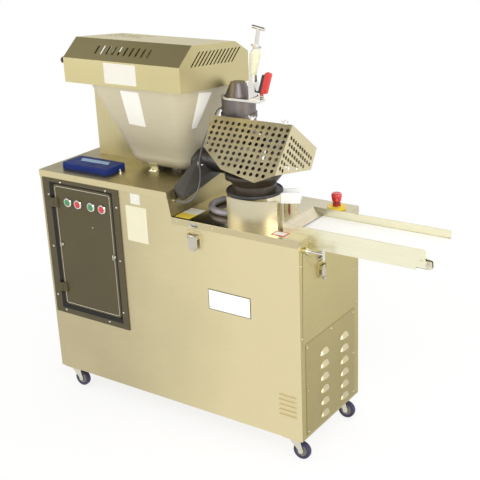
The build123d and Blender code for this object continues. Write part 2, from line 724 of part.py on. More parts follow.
# Funnel from the guard into the rounder's drum, held by a tab on the head
drum_plane = Plane((drum_x, drum_y, 0), x_dir=(1, 0, 0), z_dir=(0, -1, 0))
drum_axis = Axis((drum_x, drum_y, 0), (0, 0, 1))
funnel_z1 = lower_z + 187
funnel_z0 = lower_z + drum_high - 16
throat_z = lower_z + drum_high + 27
lid_z = lower_z + drum_high - 6
tab_dx = (head_x - drum_x) / math.hypot(head_x - drum_x, head_y - drum_y)
tab_dy = (head_y - drum_y) / math.hypot(head_x - drum_x, head_y - drum_y)
with BuildPart() as funnel:
    with BuildSketch(Plane((drum_x, drum_y, funnel_z1 - 8), x_dir=(tab_dx, tab_dy, 0), z_dir=(0, 0, 1))):
        Rectangle(funnel_top_r + 30, 40, align=(Align.MIN, Align.CENTER))
    extrude(amount=8)
    rod_z(head_x, head_y, funnel_z1 - 9, funnel_z1 + 1, head_r, Mode.SUBTRACT)
    rod_z(drum_x, drum_y, funnel_z1 - 9, funnel_z1 + 1, funnel_top_r - 2, Mode.SUBTRACT)
    with BuildSketch(drum_plane):
        with BuildLine():
            Polyline(
                (funnel_low_r, funnel_z0),
                (funnel_low_r, lid_z),
                (drum_r - 4.5, lid_z),
                (drum_r - 4.5, lid_z + 4),
                (funnel_low_r, lid_z + 4),
                (funnel_low_r, throat_z),
                (funnel_top_r, funnel_z1 - 10),
                (funnel_top_r, funnel_z1),
                (funnel_top_r - 3, funnel_z1),
                (funnel_top_r - 3, funnel_z1 - 9),
                (funnel_low_r - 3, throat_z + 1),
                (funnel_low_r - 3, funnel_z0),
                close=True,
            )
        make_face()
    revolve(axis=drum_axis)
keep(funnel, "funnel")

# Rounder: polished drum with a side exit, and the cone that turns inside it
drum_top = lower_z + drum_high
chute_z = lower_z + 0.56 * drum_high
chute_plane = Plane((drum_x, drum_y, chute_z), x_dir=(0.906, 0.423, 0), z_dir=(0, 0, 1))
with BuildPart() as drum:
    rod_z(drum_x, drum_y, lower_z, drum_top, drum_r)
    rod_z(drum_x, drum_y, lower_z, drum_top, drum_r - 3, Mode.SUBTRACT)
    with BuildSketch(chute_plane.offset(chute_wall)):
        Rectangle(drum_r + 10, chute_wid - 2 * chute_wall, align=(Align.MIN, Align.CENTER))
    extrude(amount=drum_top - 5 - chute_z - chute_wall, mode=Mode.SUBTRACT)
keep(drum, "drum")

cone_r = drum_r - 6
with BuildPart() as rounder_cone:
    with BuildSketch(drum_plane):
        with BuildLine():
            Polyline(
                (0, lower_z + 5),
                (cone_r, lower_z + 5),
                (cone_r, lower_z + 11),
                (0.5 * cone_r, lower_z + 18),
                (0.2 * cone_r, lower_z + 62),
                (0, lower_z + 70),
                close=True,
            )
        make_face()
    revolve(axis=drum_axis)
    rod_z(drum_x, drum_y, lower_z - 70, lower_z + 6, shaft_r)
keep(rounder_cone, "rounder_cone")

with BuildPart() as rounder_motor:
    rod_z(drum_x, drum_y, lower_z - 40, lower_z - sheet, 62)
    rod_z(drum_x, drum_y, lower_z - 230, lower_z - 39, 70)
    rod_z(drum_x, drum_y, lower_z - 80, lower_z - sheet, shaft_r + turn_fit, Mode.SUBTRACT)
keep(rounder_motor, "rounder_gear_motor")

# Track round the back of the drum
track_x = drum_x - 46
track_y = drum_y - 10
track_plane = Plane((track_x, track_y, 0), x_dir=(1, 0, 0), z_dir=(0, -1, 0))
with BuildPart() as track:
    with BuildSketch(Plane((track_x, track_y, 0), x_dir=(0, 1, 0), z_dir=(1, 0, 0))):
        with Locations((track_r, lower_z + 17)):
            RectangleRounded(20, 34, 8)
    revolve(axis=Axis((track_x, track_y, 0), (0, 0, 1)), revolution_arc=188)
keep(track, "round_track")

# Curved apron beside the drum, and the white chute that stands on it and carries the dough out to the belt
apron_r = drum_r + 135
apron_x = drum_x - apron_r + drum_r + 12
apron_y = drum_y + 54
with BuildPart() as guide:
    with BuildSketch(Plane((apron_x, apron_y, 0), x_dir=(0.993, -0.122, 0), z_dir=(-0.122, -0.993, 0))):
        with Locations((apron_r, (lower_z + chute_z) / 2)):
            Rectangle(4, chute_z - lower_z)
    revolve(axis=Axis((apron_x, apron_y, 0), (0, 0, 1)), revolution_arc=34)
keep(guide, "discharge_guide")

with BuildPart() as chute:
    with BuildSketch(chute_plane):
        Rectangle(chute_reach, chute_wid, align=(Align.MIN, Align.CENTER))
    extrude(amount=chute_high)
    with BuildSketch(chute_plane.offset(chute_wall)):
        Rectangle(chute_reach + 1, chute_wid - 2 * chute_wall, align=(Align.MIN, Align.CENTER))
    extrude(amount=chute_high, mode=Mode.SUBTRACT)
    rod_z(drum_x, drum_y, chute_z, chute_z + chute_high, drum_r + slide_fit, Mode.SUBTRACT)
keep(chute, "discharge_chute")

# Discharge conveyor: welded channel with its guards and tension blocks
stub_r = 6.0
near_y = conv_y0
far_y = conv_y1
with BuildPart() as conveyor:
    for y0 in (near_y, far_y - conv_plate):
        slab(conv_x0, conv_x1, y0, y0 + conv_plate, bed_low, guard_z)
        slab(tail_x - 34, tail_x + 12, y0 - 4, y0 + conv_plate + 4, roller_z - 13, roller_z + 13)
    slab(conv_x0, conv_x0 + conv_plate, near_y, far_y, roller_z - 10, guard_z)
    slab(drive_x + 30, tail_x - 30, near_y + 2, far_y - 2, belt_z - belt_thick - 4, belt_z - belt_thick - 0.3)
    slab(right + 16, conv_x1 - 4, near_y - 5, near_y, belt_z - 3, guard_z + 2)
    slab(conv_x1 - 36, conv_x1 + 1, near_y - 6, near_y + conv_plate, bed_low - 1, roller_z - 16, Mode.SUBTRACT)
    slab(conv_x1 - 36, conv_x1 + 1, far_y - conv_plate, far_y + 1, bed_low - 1, roller_z - 16, Mode.SUBTRACT)
    slab(tail_x - 34, tail_x + 14, near_y + conv_plate, far_y - conv_plate, bed_low, guard_z, Mode.SUBTRACT)
    for x in (drive_x, tail_x):
        rod_y(x, near_y - 6, far_y + 6, roller_z, stub_r + turn_fit, Mode.SUBTRACT)
keep(conveyor, "conveyor_channel")

belt_y0 = (near_y + far_y - belt_wid) / 2
belt_y1 = belt_y0 + belt_wid
with BuildPart() as belt:
    for r, mode in ((roller_r + belt_thick, Mode.ADD), (roller_r + slide_fit, Mode.SUBTRACT)):
        slab(drive_x, tail_x, belt_y0, belt_y1, roller_z - r, roller_z + r, mode)
        for x in (drive_x, tail_x):
            rod_y(x, belt_y0, belt_y1, roller_z, r, mode)
keep(belt, "belt")

for x, name in ((drive_x, "drive_roller"), (tail_x, "tail_roller")):
    with BuildPart() as roller:
        rod_y(x, belt_y0 + 2, belt_y1 - 2, roller_z, roller_r)
        rod_y(x, near_y, far_y, roller_z, stub_r)
    keep(roller, name)

# Emergency stop on the lower deck
stop_x = left + 0.951 * cab_len
stop_y = front + 0.865 * cab_wid
with BuildPart() as stop_base:
    rod_z(stop_x, stop_y, lower_z, lower_z + 9, 38)
    rod_z(stop_x, stop_y, lower_z + 8, lower_z + 24, 16)
    rod_z(stop_x, stop_y, lower_z + 3, lower_z + 24, 8 + turn_fit, Mode.SUBTRACT)
keep(stop_base, "stop_base")

with BuildPart() as stop_head:
    rod_z(stop_x, stop_y, lower_z + 12, lower_z + 36, 8)
    rod_z(stop_x, stop_y, lower_z + 31, lower_z + 64, 20)
    fillet(stop_head.faces().sort_by(Axis.Z)[-1].edges(), 6)
keep(stop_head, "stop_head")

# Control box, its frame on the front panel and the hinged door with four push buttons
with BuildPart() as control_box:
    slab(open_x0 - sheet, open_x1 + sheet, front + sheet, front + 150, open_z0 - sheet, open_z1 + sheet)
    slab(open_x0, open_x1, front + sheet, front + 148, open_z0, open_z1, Mode.SUBTRACT)
keep(control_box, "control_box")

door_gap = 2.0
door_hinge_x = open_x0 - 6
door_hinge_y = front - frame_thick - 7
door_zs = (open_z0 + 0.15 * (open_z1 - open_z0), open_z0 + 0.85 * (open_z1 - open_z0))
with BuildPart() as control_frame:
    slab(frame_x0, frame_x1, front - frame_thick, front, frame_z0, frame_z1)
    slab(open_x0, open_x1, front - frame_thick, front, open_z0, open_z1, Mode.SUBTRACT)
    for z in door_zs:
        for z0 in (z - 28, z + 22):
            slab(door_hinge_x - 8, door_hinge_x + 4, door_hinge_y - 4, front - 1, z0, z0 + 6)
        rod_z(door_hinge_x, door_hinge_y, z - 28, z + 28, pin_r)
keep(control_frame, "control_frame")

door_x0 = open_x0 + door_gap
door_x1 = open_x1 - door_gap
door_z0 = open_z0 + door_gap
door_z1 = open_z1 - door_gap
button_r = 13.0
button_z = door_z1 - 73
button_xs = [door_x0 + f * (door_x1 - door_x0) for f in (0.25, 0.428, 0.656, 0.844)]
with BuildPart() as control_door:
    with BuildSketch(Plane.XZ.offset(-(front - 1))):
        with Locations(((door_x0 + door_x1) / 2, (door_z0 + door_z1) / 2)):
            RectangleRounded(door_x1 - door_x0, door_z1 - door_z0, 14)
    extrude(amount=frame_thick - 1)
    for z in door_zs:
        slab(door_hinge_x, door_x0 + 24, door_hinge_y - 1, front - frame_thick - gap, z - 21, z + 21)
        slab(door_x0, door_x0 + 24, door_hinge_y - 1, front - 2, z - 21, z + 21)
        rod_z(door_hinge_x, door_hinge_y, z - 21, z + 21, pin_r + 3)
        rod_z(door_hinge_x, door_hinge_y, z - 21, z + 21, pin_r + turn_fit, Mode.SUBTRACT)
    for x in button_xs:
        rod_y(x, front - frame_thick - 7, front - 2, button_z, 17.5)
        rod_y(x, front - frame_thick - 7, front, button_z, button_r + slide_fit, Mode.SUBTRACT)
keep(control_door, "control_door")

for x, name in zip(button_xs, ("start_a", "stop_a", "start_b", "stop_b")):
    with BuildPart() as button:
        rod_y(x, front - frame_thick - 12, front - 2, button_z, button_r)
    keep(button, f"button_{name}")

# Casters: swivelling forks with their axles, and wheels
hub_z = wheel_r
fork_y = wheel_w / 2 + 1.5
fork_thick = 3.0
brake_z = base_z - caster_plate - 17
corners = [
    (x, y, f"{end}_{side}")
    for x, end in zip(caster_xs, ("left", "right"))
    for y, side in zip(caster_ys, ("front", "rear"))
]
for x, y, corner in corners:
    with BuildPart() as fork:
        top = base_z - caster_plate - gap
        rod_z(x, y, top - 9, top, 25)
        rod_z(x, y, top - 1, top + caster_plate, king_r)
        leg = [
            (x - 21, top - 7),
            (x + 22, top - 7),
            (x + trail + 12, hub_z + 4),
            (x + trail + 8, hub_z - 10),
            (x + trail - 8, hub_z - 10),
            (x + trail - 13, hub_z + 6),
            (x - 21, top - 24),
        ]
        front_prism(leg, y - fork_y - fork_thick, y - fork_y)
        front_prism(leg, y + fork_y, y + fork_y + fork_thick)
        rod_y(x + trail, y - fork_y - fork_thick - 4, y + fork_y + fork_thick + 4, hub_z, axle_r)
        if corner == "left_front":
            rod_y(x - 14, y - fork_y - fork_thick, y + fork_y + fork_thick, brake_z, 2.5 + turn_fit, Mode.SUBTRACT)
    keep(fork, f"caster_fork_{corner}")
    with BuildPart() as wheel:
        rod_y(x + trail, y - wheel_w / 2, y + wheel_w / 2, hub_z, wheel_r)
        fillet(wheel.edges(), 4)
        rod_y(x + trail, y - wheel_w / 2 - 1, y + wheel_w / 2 + 1, hub_z, axle_r + 7)
        rod_y(x + trail, y - wheel_w / 2 - 1, y + wheel_w / 2 + 1, hub_z, axle_r + turn_fit, Mode.SUBTRACT)
    keep(wheel, f"caster_wheel_{corner}")

# Brake pedal on the left front caster
brake_x = caster_xs[0] - 14
with BuildPart() as brake:
    rod_y(brake_x, caster_ys[0] - fork_y - fork_thick, caster_ys[0] + fork_y + fork_thick, brake_z, 2.5)
    slab(brake_x - 40, brake_x + 6, caster_ys[0] - 10, caster_ys[0] + 10, brake_z - 4, brake_z + 3)
keep(brake, "caster_brake")

# Guard switch cable from the head down to the step
cord_route = [
    (head_x - head_r - 8, head_y - 10, boss_z),
    (head_x - head_r - 26, head_y - 10, boss_z),
    (head_x - head_r - 40, head_y - 24, boss_z - 40),
    (step_top + 17, clip_y + 40, upper_z + 152),
    (step_top + 14, clip_y + 22, upper_z + 102),
    (clip_x, clip_y, upper_z + 71),
    (step_top + 62, clip_y - 46, upper_z + 50),
    (step_top + 86, clip_y - 90, upper_z + 6),
    (step_top + 80, clip_y - 122, upper_z - 36),
    (step_top + 50, clip_y - 146, upper_z - 54),
    (step_gland[0] + 26, step_gland[1], step_gland[2]),
    (step_gland[0] + 8, step_gland[1], step_gland[2]),
]


def bend_radii(route):
    # each bend as large as its two runs allow
    radii = []
    for before, here, after in zip(route, route[1:], route[2:]):
        run_in = Vector(*here) - Vector(*before)
        run_out = Vector(*after) - Vector(*here)
        turn = math.radians(run_in.get_angle(run_out))
        radii.append(0.45 * min(run_in.length, run_out.length) / math.tan(turn / 2))
    return radii


with BuildPart() as cable:
    with BuildLine():
        run = FilletPolyline(*cord_route, radius=bend_radii(cord_route))
    with BuildSketch(Plane(run @ 0, z_dir=run % 0)):
        Circle(cord_r)
    sweep(path=run)
keep(cable, "switch_cable")

# Flat accessory case lying on the upper deck
with BuildPart() as case:
    slab(
        left + 0.057 * cab_len,
        left + 0.258 * cab_len,
        front + 0.13 * cab_wid,
        front + 0.4 * cab_wid,
        upper_z,
        upper_z + 26,
    )
    fillet(case.edges().filter_by(Axis.Z), 16)
    fillet(case.faces().sort_by(Axis.Z)[-1].edges(), 6)
keep(case, "accessory_case")
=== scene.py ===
import bpy
import bmesh
import math
from mathutils import Matrix, Vector


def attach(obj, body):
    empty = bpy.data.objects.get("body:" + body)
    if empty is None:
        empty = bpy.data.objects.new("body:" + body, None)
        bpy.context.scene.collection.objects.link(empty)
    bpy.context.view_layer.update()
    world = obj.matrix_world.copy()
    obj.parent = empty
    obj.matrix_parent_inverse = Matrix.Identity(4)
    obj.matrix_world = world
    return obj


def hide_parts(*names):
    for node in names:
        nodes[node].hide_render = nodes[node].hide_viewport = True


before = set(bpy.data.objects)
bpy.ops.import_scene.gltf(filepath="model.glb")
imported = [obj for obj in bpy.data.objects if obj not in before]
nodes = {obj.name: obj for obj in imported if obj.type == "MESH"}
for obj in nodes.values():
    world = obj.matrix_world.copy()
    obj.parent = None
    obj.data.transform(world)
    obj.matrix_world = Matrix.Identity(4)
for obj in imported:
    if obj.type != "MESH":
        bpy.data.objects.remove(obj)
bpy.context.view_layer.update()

scene = bpy.context.scene
scene.view_settings.view_transform = "Standard"


def placed(name, data):
    made = bpy.data.objects.new(name, data)
    scene.collection.objects.link(made)
    return made


def mm(*spot):  # a point given in millimetres
    return Vector(spot) / 1000


class Flow:  # a socket in a node tree, with the sums that the finishes use
    def __init__(self, sheet, socket):
        self.sheet = sheet
        self.socket = socket

    def sum(self, operation, first, second):
        return self.sheet.node("ShaderNodeMath", {"operation": operation}, {0: first, 1: second})

    def __add__(self, other):
        return self.sum("ADD", self, other)

    def __radd__(self, other):
        return self.sum("ADD", other, self)

    def __sub__(self, other):
        return self.sum("SUBTRACT", self, other)

    def __rsub__(self, other):
        return self.sum("SUBTRACT", other, self)

    def __mul__(self, other):
        return self.sum("MULTIPLY", self, other)

    def __rmul__(self, other):
        return self.sum("MULTIPLY", other, self)

    def __gt__(self, other):
        return self.sum("GREATER_THAN", self, other)

    def __lt__(self, other):
        return self.sum("LESS_THAN", self, other)


class Finish:  # one material and its nodes
    def __init__(self, name, tree=None):
        if tree is None:
            self.material = bpy.data.materials.new(name)
            self.material.use_nodes = True
            tree = self.material.node_tree
        self.tree = tree
        tree.nodes.clear()

    def node(self, kind, settings=None, sockets=None, out=0):
        made = self.tree.nodes.new(kind)
        for key, value in (settings or {}).items():
            setattr(made, key, value)
        for key, value in (sockets or {}).items():
            if isinstance(value, Flow):
                self.tree.links.new(value.socket, made.inputs[key])
            else:
                made.inputs[key].default_value = value
        return Flow(self, made.outputs[out]) if made.outputs else None

    def place(self):
        return self.node("ShaderNodeTexCoord", out="Object")

    def noise(self, scale, detail, stretch=(1, 1, 1), rough=0.5):
        at = self.place()
        if stretch != (1, 1, 1):
            at = self.node("ShaderNodeMapping", None, {"Vector": at, "Scale": stretch})
        sockets = {"Vector": at, "Scale": scale, "Detail": detail, "Roughness": rough}
        return self.node("ShaderNodeTexNoise", None, sockets, "Fac")

    def axis(self, name):
        return self.node("ShaderNodeSeparateXYZ", None, {"Vector": self.place()}, name)

    def blend(self, share, first, second):
        def full(value):
            return value if isinstance(value, Flow) else (*value, 1)

        sockets = {"Factor": share, 6: full(first), 7: full(second)}
        return self.node("ShaderNodeMix", {"data_type": "RGBA", "clamp_factor": True}, sockets, 2)

    def ramp(self, value, low, high):
        return self.node("ShaderNodeMapRange", None, {"Value": value, "From Min": low, "From Max": high})

    def bump(self, height, strength, distance):
        sockets = {"Height": height, "Strength": strength, "Distance": distance}
        return self.node("ShaderNodeBump", None, sockets)

    def surface(self, colour, rough, metal, normal, **fixed):
        sockets = {"Base Color": colour, "Roughness": rough, "Metallic": metal, "Normal": normal}
        for key, value in fixed.items():
            sockets[key.replace("_", " ")] = value
        shader = self.node("ShaderNodeBsdfPrincipled", None, sockets)
        self.node("ShaderNodeOutputMaterial", None, {"Surface": shader})
        return self.material


# camera at the photograph's place: front right, a little above the hood's skirt
view = {"at": (2.1869, -3.0978, 2.2655), "azimuth": 35.402, "elevation": 20.831, "roll": -2.543,
        "lens": 73.69, "sensor": 36}


def aimCamera():
    a, e, r = (math.radians(view[k]) for k in ("azimuth", "elevation", "roll"))
    back = Vector((math.sin(a) * math.cos(e), -math.cos(a) * math.cos(e), math.sin(e)))
    right = Vector((math.cos(a), math.sin(a), 0))
    up = back.cross(right)
    across = right * math.cos(r) + up * math.sin(r)
    raised = up * math.cos(r) - right * math.sin(r)
    data = bpy.data.cameras.new("camera")
    data.lens = view["lens"]
    data.sensor_width = view["sensor"]
    camera = placed("camera", data)
    turned = Matrix((across, raised, back)).transposed().to_4x4()
    camera.matrix_world = Matrix.Translation(view["at"]) @ turned
    scene.camera = camera


aimCamera()
print("camera set")

# stage: pale floor, white surround, soft lamps
light = {"world": 0.78, "shadow": 0.8, "whiteFrom": (0.9, 2.6), "ceilingFrom": (0.42, 0.72), "floorHalf": 9,
         "lampsAim": (-0.1, 0, 0.8)}
lamps = {  # place, size, power
    "key": ((2.6, -3, 3.6), 2.2, 80),
    "front": ((2.2, -3.3, 1.9), 1.6, 26),
    "right": ((4, -0.5, 1.6), 1.8, 40),
    "fill": ((-3, -2.8, 2.6), 2.4, 30),
    "rim": ((0.5, 3.2, 3.4), 2.2, 30),
}
rays = "ShaderNodeLightPath"


def setFloor():
    mesh = bpy.data.meshes.new("floor")
    h = light["floorHalf"]
    mesh.from_pydata([(-h, -h, 0), (h, -h, 0), (h, h, 0), (-h, h, 0)], [], [(0, 1, 2, 3)])
    floor = placed("floor", mesh)
    f = Finish("floorPale")
    seen = f.node(rays, out="Is Camera Ray")
    seen = seen.sum("MAXIMUM", seen, f.node(rays, out="Is Glossy Ray"))
    diffuse = f.node("ShaderNodeBsdfDiffuse", None, {"Color": (0.9, 0.9, 0.89, 1)})
    glow = f.node("ShaderNodeEmission", None, {"Color": (1, 1, 1, 1), "Strength": 1})
    away = f.node("ShaderNodeVectorMath", {"operation": "LENGTH"}, {0: f.place()}, "Value")
    near = light["shadow"]
    share = f.ramp(away, *light["whiteFrom"]) * (1 - near) + near  # white further out, shadow by the wheels
    mixed = f.node("ShaderNodeMixShader", None, {"Fac": seen * share, 1: diffuse, 2: glow})
    f.node("ShaderNodeOutputMaterial", None, {"Surface": mixed})
    mesh.materials.append(f.material)


def setSurround():
    world = bpy.data.worlds.new("surround")
    scene.world = world
    world.use_nodes = True
    w = Finish("surround", world.node_tree)
    camera = w.node(rays, out="Is Camera Ray")
    glossy = w.node(rays, out="Is Glossy Ray")
    through = w.node(rays, out="Is Transmission Ray")
    direction = w.node("ShaderNodeTexCoord", out="Generated")
    height = w.node("ShaderNodeSeparateXYZ", None, {"Vector": direction}, "Z")
    ceiling = w.ramp(height, *light["ceilingFrom"])
    room = w.blend(ceiling, (1, 1, 1), (0.2, 0.19, 0.165))  # dark ceiling over white walls
    shown = w.blend(camera, room, (1, 1, 1))
    seen = w.node("ShaderNodeBackground", None, {"Color": shown, "Strength": 1})
    sockets = {"Color": (1, 0.99, 0.97, 1), "Strength": light["world"]}
    ambient = w.node("ShaderNodeBackground", None, sockets)
    largest = glossy.sum("MAXIMUM", camera, glossy.sum("MAXIMUM", glossy, through))
    mixed = w.node("ShaderNodeMixShader", None, {"Fac": largest, 1: ambient, 2: seen})
    w.node("ShaderNodeOutputWorld", None, {"Surface": mixed})


def setLamps():
    for name, (at, width, power) in lamps.items():
        data = bpy.data.lights.new(name, "AREA")
        data.size = width
        data.energy = power
        lamp = placed(name, data)
        lamp.location = at
        aim = Vector(light["lampsAim"]) - Vector(at)
        lamp.rotation_euler = aim.to_track_quat("-Z", "Y").to_euler()


setFloor()
setSurround()
setLamps()
print("stage set")


# finishes
def scaled(tone, by):
    return tuple(min(1, c * by) for c in tone)


def within(value, span):
    return (value > span[0]) * (value < span[1])


def steel(name, tone, rough, along, cloud=0.16, lift=None, stain=0, metal=1, lip=None, grain=1):
    f = Finish(name)
    stretch = {"x": (1.2, 34, 34), "y": (34, 1.2, 34), "z": (34, 34, 1.2), "xy": (1.2, 1.2, 34)}[along]
    lines = f.noise(9, 3, stretch, 0.6)
    clouds = f.noise(2.6, 3)
    marks = f.noise(21, 4, rough=0.65)
    share = (clouds - 0.5) * (2.2 * cloud) + (lines - 0.5) * (0.42 * grain) + 0.62
    if lift:  # painted light and shade: paler along one axis, where the light falls stronger
        axis, first, last, paintedLightShare = lift
        share = share + f.ramp(f.axis(axis), first, last) * paintedLightShare - paintedLightShare / 2
    colour = f.blend(share, scaled(tone, 0.72), scaled(tone, 1.12))
    if lip:  # painted light: faces turned to the front, the folded edges, take a paler colour as if lit
        litFacing = f.node("ShaderNodeNewGeometry", out="Normal")
        litFacing = f.node("ShaderNodeSeparateXYZ", None, {"Vector": litFacing}, "Y")
        colour = f.blend(litFacing < -0.6, colour, lip)
    if stain:
        dirt = f.ramp(f.noise(7, 5, rough=0.7), 0.55, 0.8) * stain
        colour = f.blend(dirt, colour, (0.23, 0.15, 0.075))
    gloss = (lines - 0.5) * (0.16 * grain) + f.ramp(marks, 0.45, 0.75) * (0.09 * grain) + rough
    return f.surface(colour, gloss, metal, f.bump(lines, 0.05 * grain, 0.0003))


def mirror(name, tone, rough, along="z"):
    f = Finish(name)
    stretch = {"x": (2, 60, 60), "z": (60, 60, 2)}[along]
    lines = f.noise(8, 2, stretch)
    smear = f.noise(9, 4, rough=0.7)
    colour = f.blend(smear, scaled(tone, 0.9), tone)
    gloss = f.ramp(smear, 0.4, 0.8) * 0.1 + (lines - 0.5) * 0.05 + rough
    return f.surface(colour, gloss, 1, f.bump(lines, 0.05, 0.0003))


def plastic(name, tone, rough, grain=900, shade=0.14, coat=0, shine=0.5):
    f = Finish(name)
    cloud = f.noise(11, 3)
    fine = f.bump(f.noise(grain, 2), 0.12, 0.0003)
    colour = f.blend(cloud, scaled(tone, 1 - shade), scaled(tone, 1 + shade))
    gloss = f.ramp(f.noise(34, 3), 0.4, 0.75) * 0.12 + rough
    return f.surface(colour, gloss, 0, fine, Coat_Weight=coat, Specular_IOR_Level=shine)


def paint(name, tone, rough, wear, shine=0.5):
    f = Finish(name)
    cloud = f.noise(4, 4, rough=0.6)
    scuff = f.ramp(f.noise(26, 6, rough=0.7), 0.62, 0.8) * wear
    colour = f.blend(cloud, scaled(tone, 0.8), scaled(tone, 1.2))
    colour = f.blend(scuff, colour, tuple(min(1, c * 2.2 + 0.03) for c in tone))
    gloss = f.ramp(cloud, 0.35, 0.7) * 0.14 + rough
    fine = f.bump(f.noise(420, 2), 0.15, 0.0002)
    return f.surface(colour, gloss, 0, fine, Specular_IOR_Level=shine)


def beltCloth(name):
    f = Finish(name)
    threads = []
    for way in ("Y", "X"):
        settings = {"wave_type": "BANDS", "bands_direction": way}
        sockets = {"Vector": f.place(), "Scale": 160, "Distortion": 0.6, "Detail": 1}
        threads.append(f.node("ShaderNodeTexWave", settings, sockets, "Fac"))
    flour = f.noise(9, 4, rough=0.65)
    colour = f.blend(flour, (0.86, 0.85, 0.81), (0.93, 0.92, 0.89))
    return f.surface(colour, 0.55, 0, f.bump(threads[0] + threads[1], 0.2, 0.0004))


def card(name, tone, edge=None, box=None, axes=("X", "Z")):  # blank plate: card white, a little foxed
    f = Finish(name)
    foxing = f.ramp(f.noise(30, 4, rough=0.6), 0.5, 0.85) * 0.16
    colour = f.blend(foxing, tone, scaled(tone, 0.8))
    if box:
        (x0, x1), (z0, z1), rim = box
        inner = within(f.axis(axes[0]), (x0 + rim, x1 - rim)) * within(f.axis(axes[1]), (z0 + rim, z1 - rim))
        colour = f.blend(inner, edge, colour)
    return f.surface(colour, 0.42, 0, f.bump(f.noise(260, 2), 0.08, 0.0002))


finishes = {
    # painted light: a steel's sixth argument ramps its colour paler along one axis, standing in for light
    # that falls unevenly
    "front": steel("frontSteel", (0.665, 0.585, 0.355), 0.42, "x", 0.26, ("X", -0.62, 0.15, 0.9)),
    # painted shade: the right panel and the louvre sheet carry the front's cabinet steel in darker tones,
    # for the lesser light on that side
    "side": steel("sideSteelPaintedShade", (0.52, 0.45, 0.215), 0.42, "xy", 0.2, ("Z", 0.2, 0.9, 0.7)),
    "louvre": steel("louvreSteelPaintedShade", (0.415, 0.35, 0.16), 0.4, "xy", 0.2, ("Z", 0.1, 0.5, 0.4)),
    # painted light: the louvres' pressed faces take a paler steel than the sheet, as lit from above
    "litSlat": steel("litSlatSteel", (0.66, 0.59, 0.37), 0.3, "y", 0.1, ("Z", 0.1, 0.5, 0.8)),
    # painted light: lip= paints the deck's and the lid's front-facing folds paler
    "deck": steel("deckSatin", (0.41, 0.353, 0.183), 0.36, "x", 0.1, ("Z", 1, 1.06, -0.6),
                  lip=(0.66, 0.575, 0.34)),
    "lid": steel("lidSteel", (0.54, 0.485, 0.33), 0.13, "x", 0.12, ("X", -0.1, 0.35, 0.9),
                 lip=(0.6, 0.52, 0.31)),
    "hood": steel("hoodSteel", (0.62, 0.545, 0.29), 0.37, "xy", 0.2, grain=0.12),
    "tower": steel("towerSteel", (0.6, 0.53, 0.3), 0.4, "z"),
    "hopper": steel("hopperSatin", (0.63, 0.57, 0.41), 0.55, "xy", 0.1, metal=0.3),
    # painted shade: the barrel's steel and its feet are near black for the shade under the bowl
    "barrel": steel("barrelPaintedShade", (0.12, 0.112, 0.105), 0.45, "x", 0.2),
    "guard": steel("guardSteel", (0.63, 0.56, 0.36), 0.36, "xy", 0.3, ("X", -0.1, 0.18, 1.3), 0.3),
    "conveyor": steel("conveyorSteel", (0.9, 0.865, 0.66), 0.36, "x"),
    "shield": mirror("shieldSatin", (0.66, 0.6, 0.42), 0.29, "z"),
    # painted shade: near-black sheet behind the guard's holes
    "liner": paint("shadeSheetBrown", (0.03, 0.024, 0.015), 0.5, 0.3, 0.2),
    "infeed": steel("infeedSteel", (0.33, 0.295, 0.215), 0.25, "y", 0.2),
    "drum": mirror("drumMirror", (0.83, 0.78, 0.64), 0.1),
    "chrome": mirror("chrome", (0.8, 0.78, 0.72), 0.12, "x"),
    "zinc": mirror("zincPlate", (0.72, 0.69, 0.58), 0.26, "z"),
    "nickel": mirror("nickelSatin", (0.6, 0.57, 0.48), 0.3, "x"),
    "track": steel("trackSatin", (0.4, 0.375, 0.4), 0.48, "xy", 0.2, metal=0.6),
    "head": steel("headCasting", (0.2, 0.175, 0.17), 0.42, "z", 0.35),
    "door": paint("doorBrown", (0.085, 0.07, 0.034), 0.42, 0.1, 0.2),
    "block": paint("blockBlack", (0.07, 0.066, 0.056), 0.36, 0.25),
    "black": plastic("blackPlastic", (0.022, 0.022, 0.023), 0.4),
    "post": plastic("postCream", (0.66, 0.635, 0.45), 0.4),
    "funnel": plastic("funnelBrown", (0.036, 0.026, 0.014), 0.36, 500, 0.2, 0.05),
    "white": plastic("whitePlastic", (0.86, 0.86, 0.83), 0.4, 700, 0.05),
    "belt": beltCloth("beltWhite"),
    "motor": paint("motorGrey", (0.12, 0.15, 0.17), 0.42, 0.3),
    "green": plastic("greenCap", (0.03, 0.24, 0.07), 0.16, 300, 0.1, 0.6),
    "red": plastic("redCap", (0.56, 0.02, 0.022), 0.18, 300, 0.1, 0.6),
    "tread": plastic("treadRubber", (0.028, 0.025, 0.07), 0.42, 600, 0.3),
    "hub": plastic("hubGrey", (0.17, 0.165, 0.16), 0.45, 500, 0.2),
    "case": plastic("caseBlue", (0.016, 0.031, 0.16), 0.5, 1200, 0.18, shine=0.12),
    "cable": plastic("cableGrey", (0.13, 0.13, 0.14), 0.4, 1500),
    "card": card("cardWhite", (0.7, 0.68, 0.6)),
    # painted light: a paler copy of the card for the hopper's plates, which face down and get less light
    "pale": card("cardPaintedLight", (0.88, 0.86, 0.79)),
    "cream": card("cardCream", (0.7, 0.665, 0.48)),
}
clamp = {"x": 0.08806, "z": 1.432, "lean": 17.5, "gripFrom": 0.0062}
paintedRecessShade = {"x": (-0.857, -0.494), "z": (0.418, 1.018)}
collarFrom = 0.9726


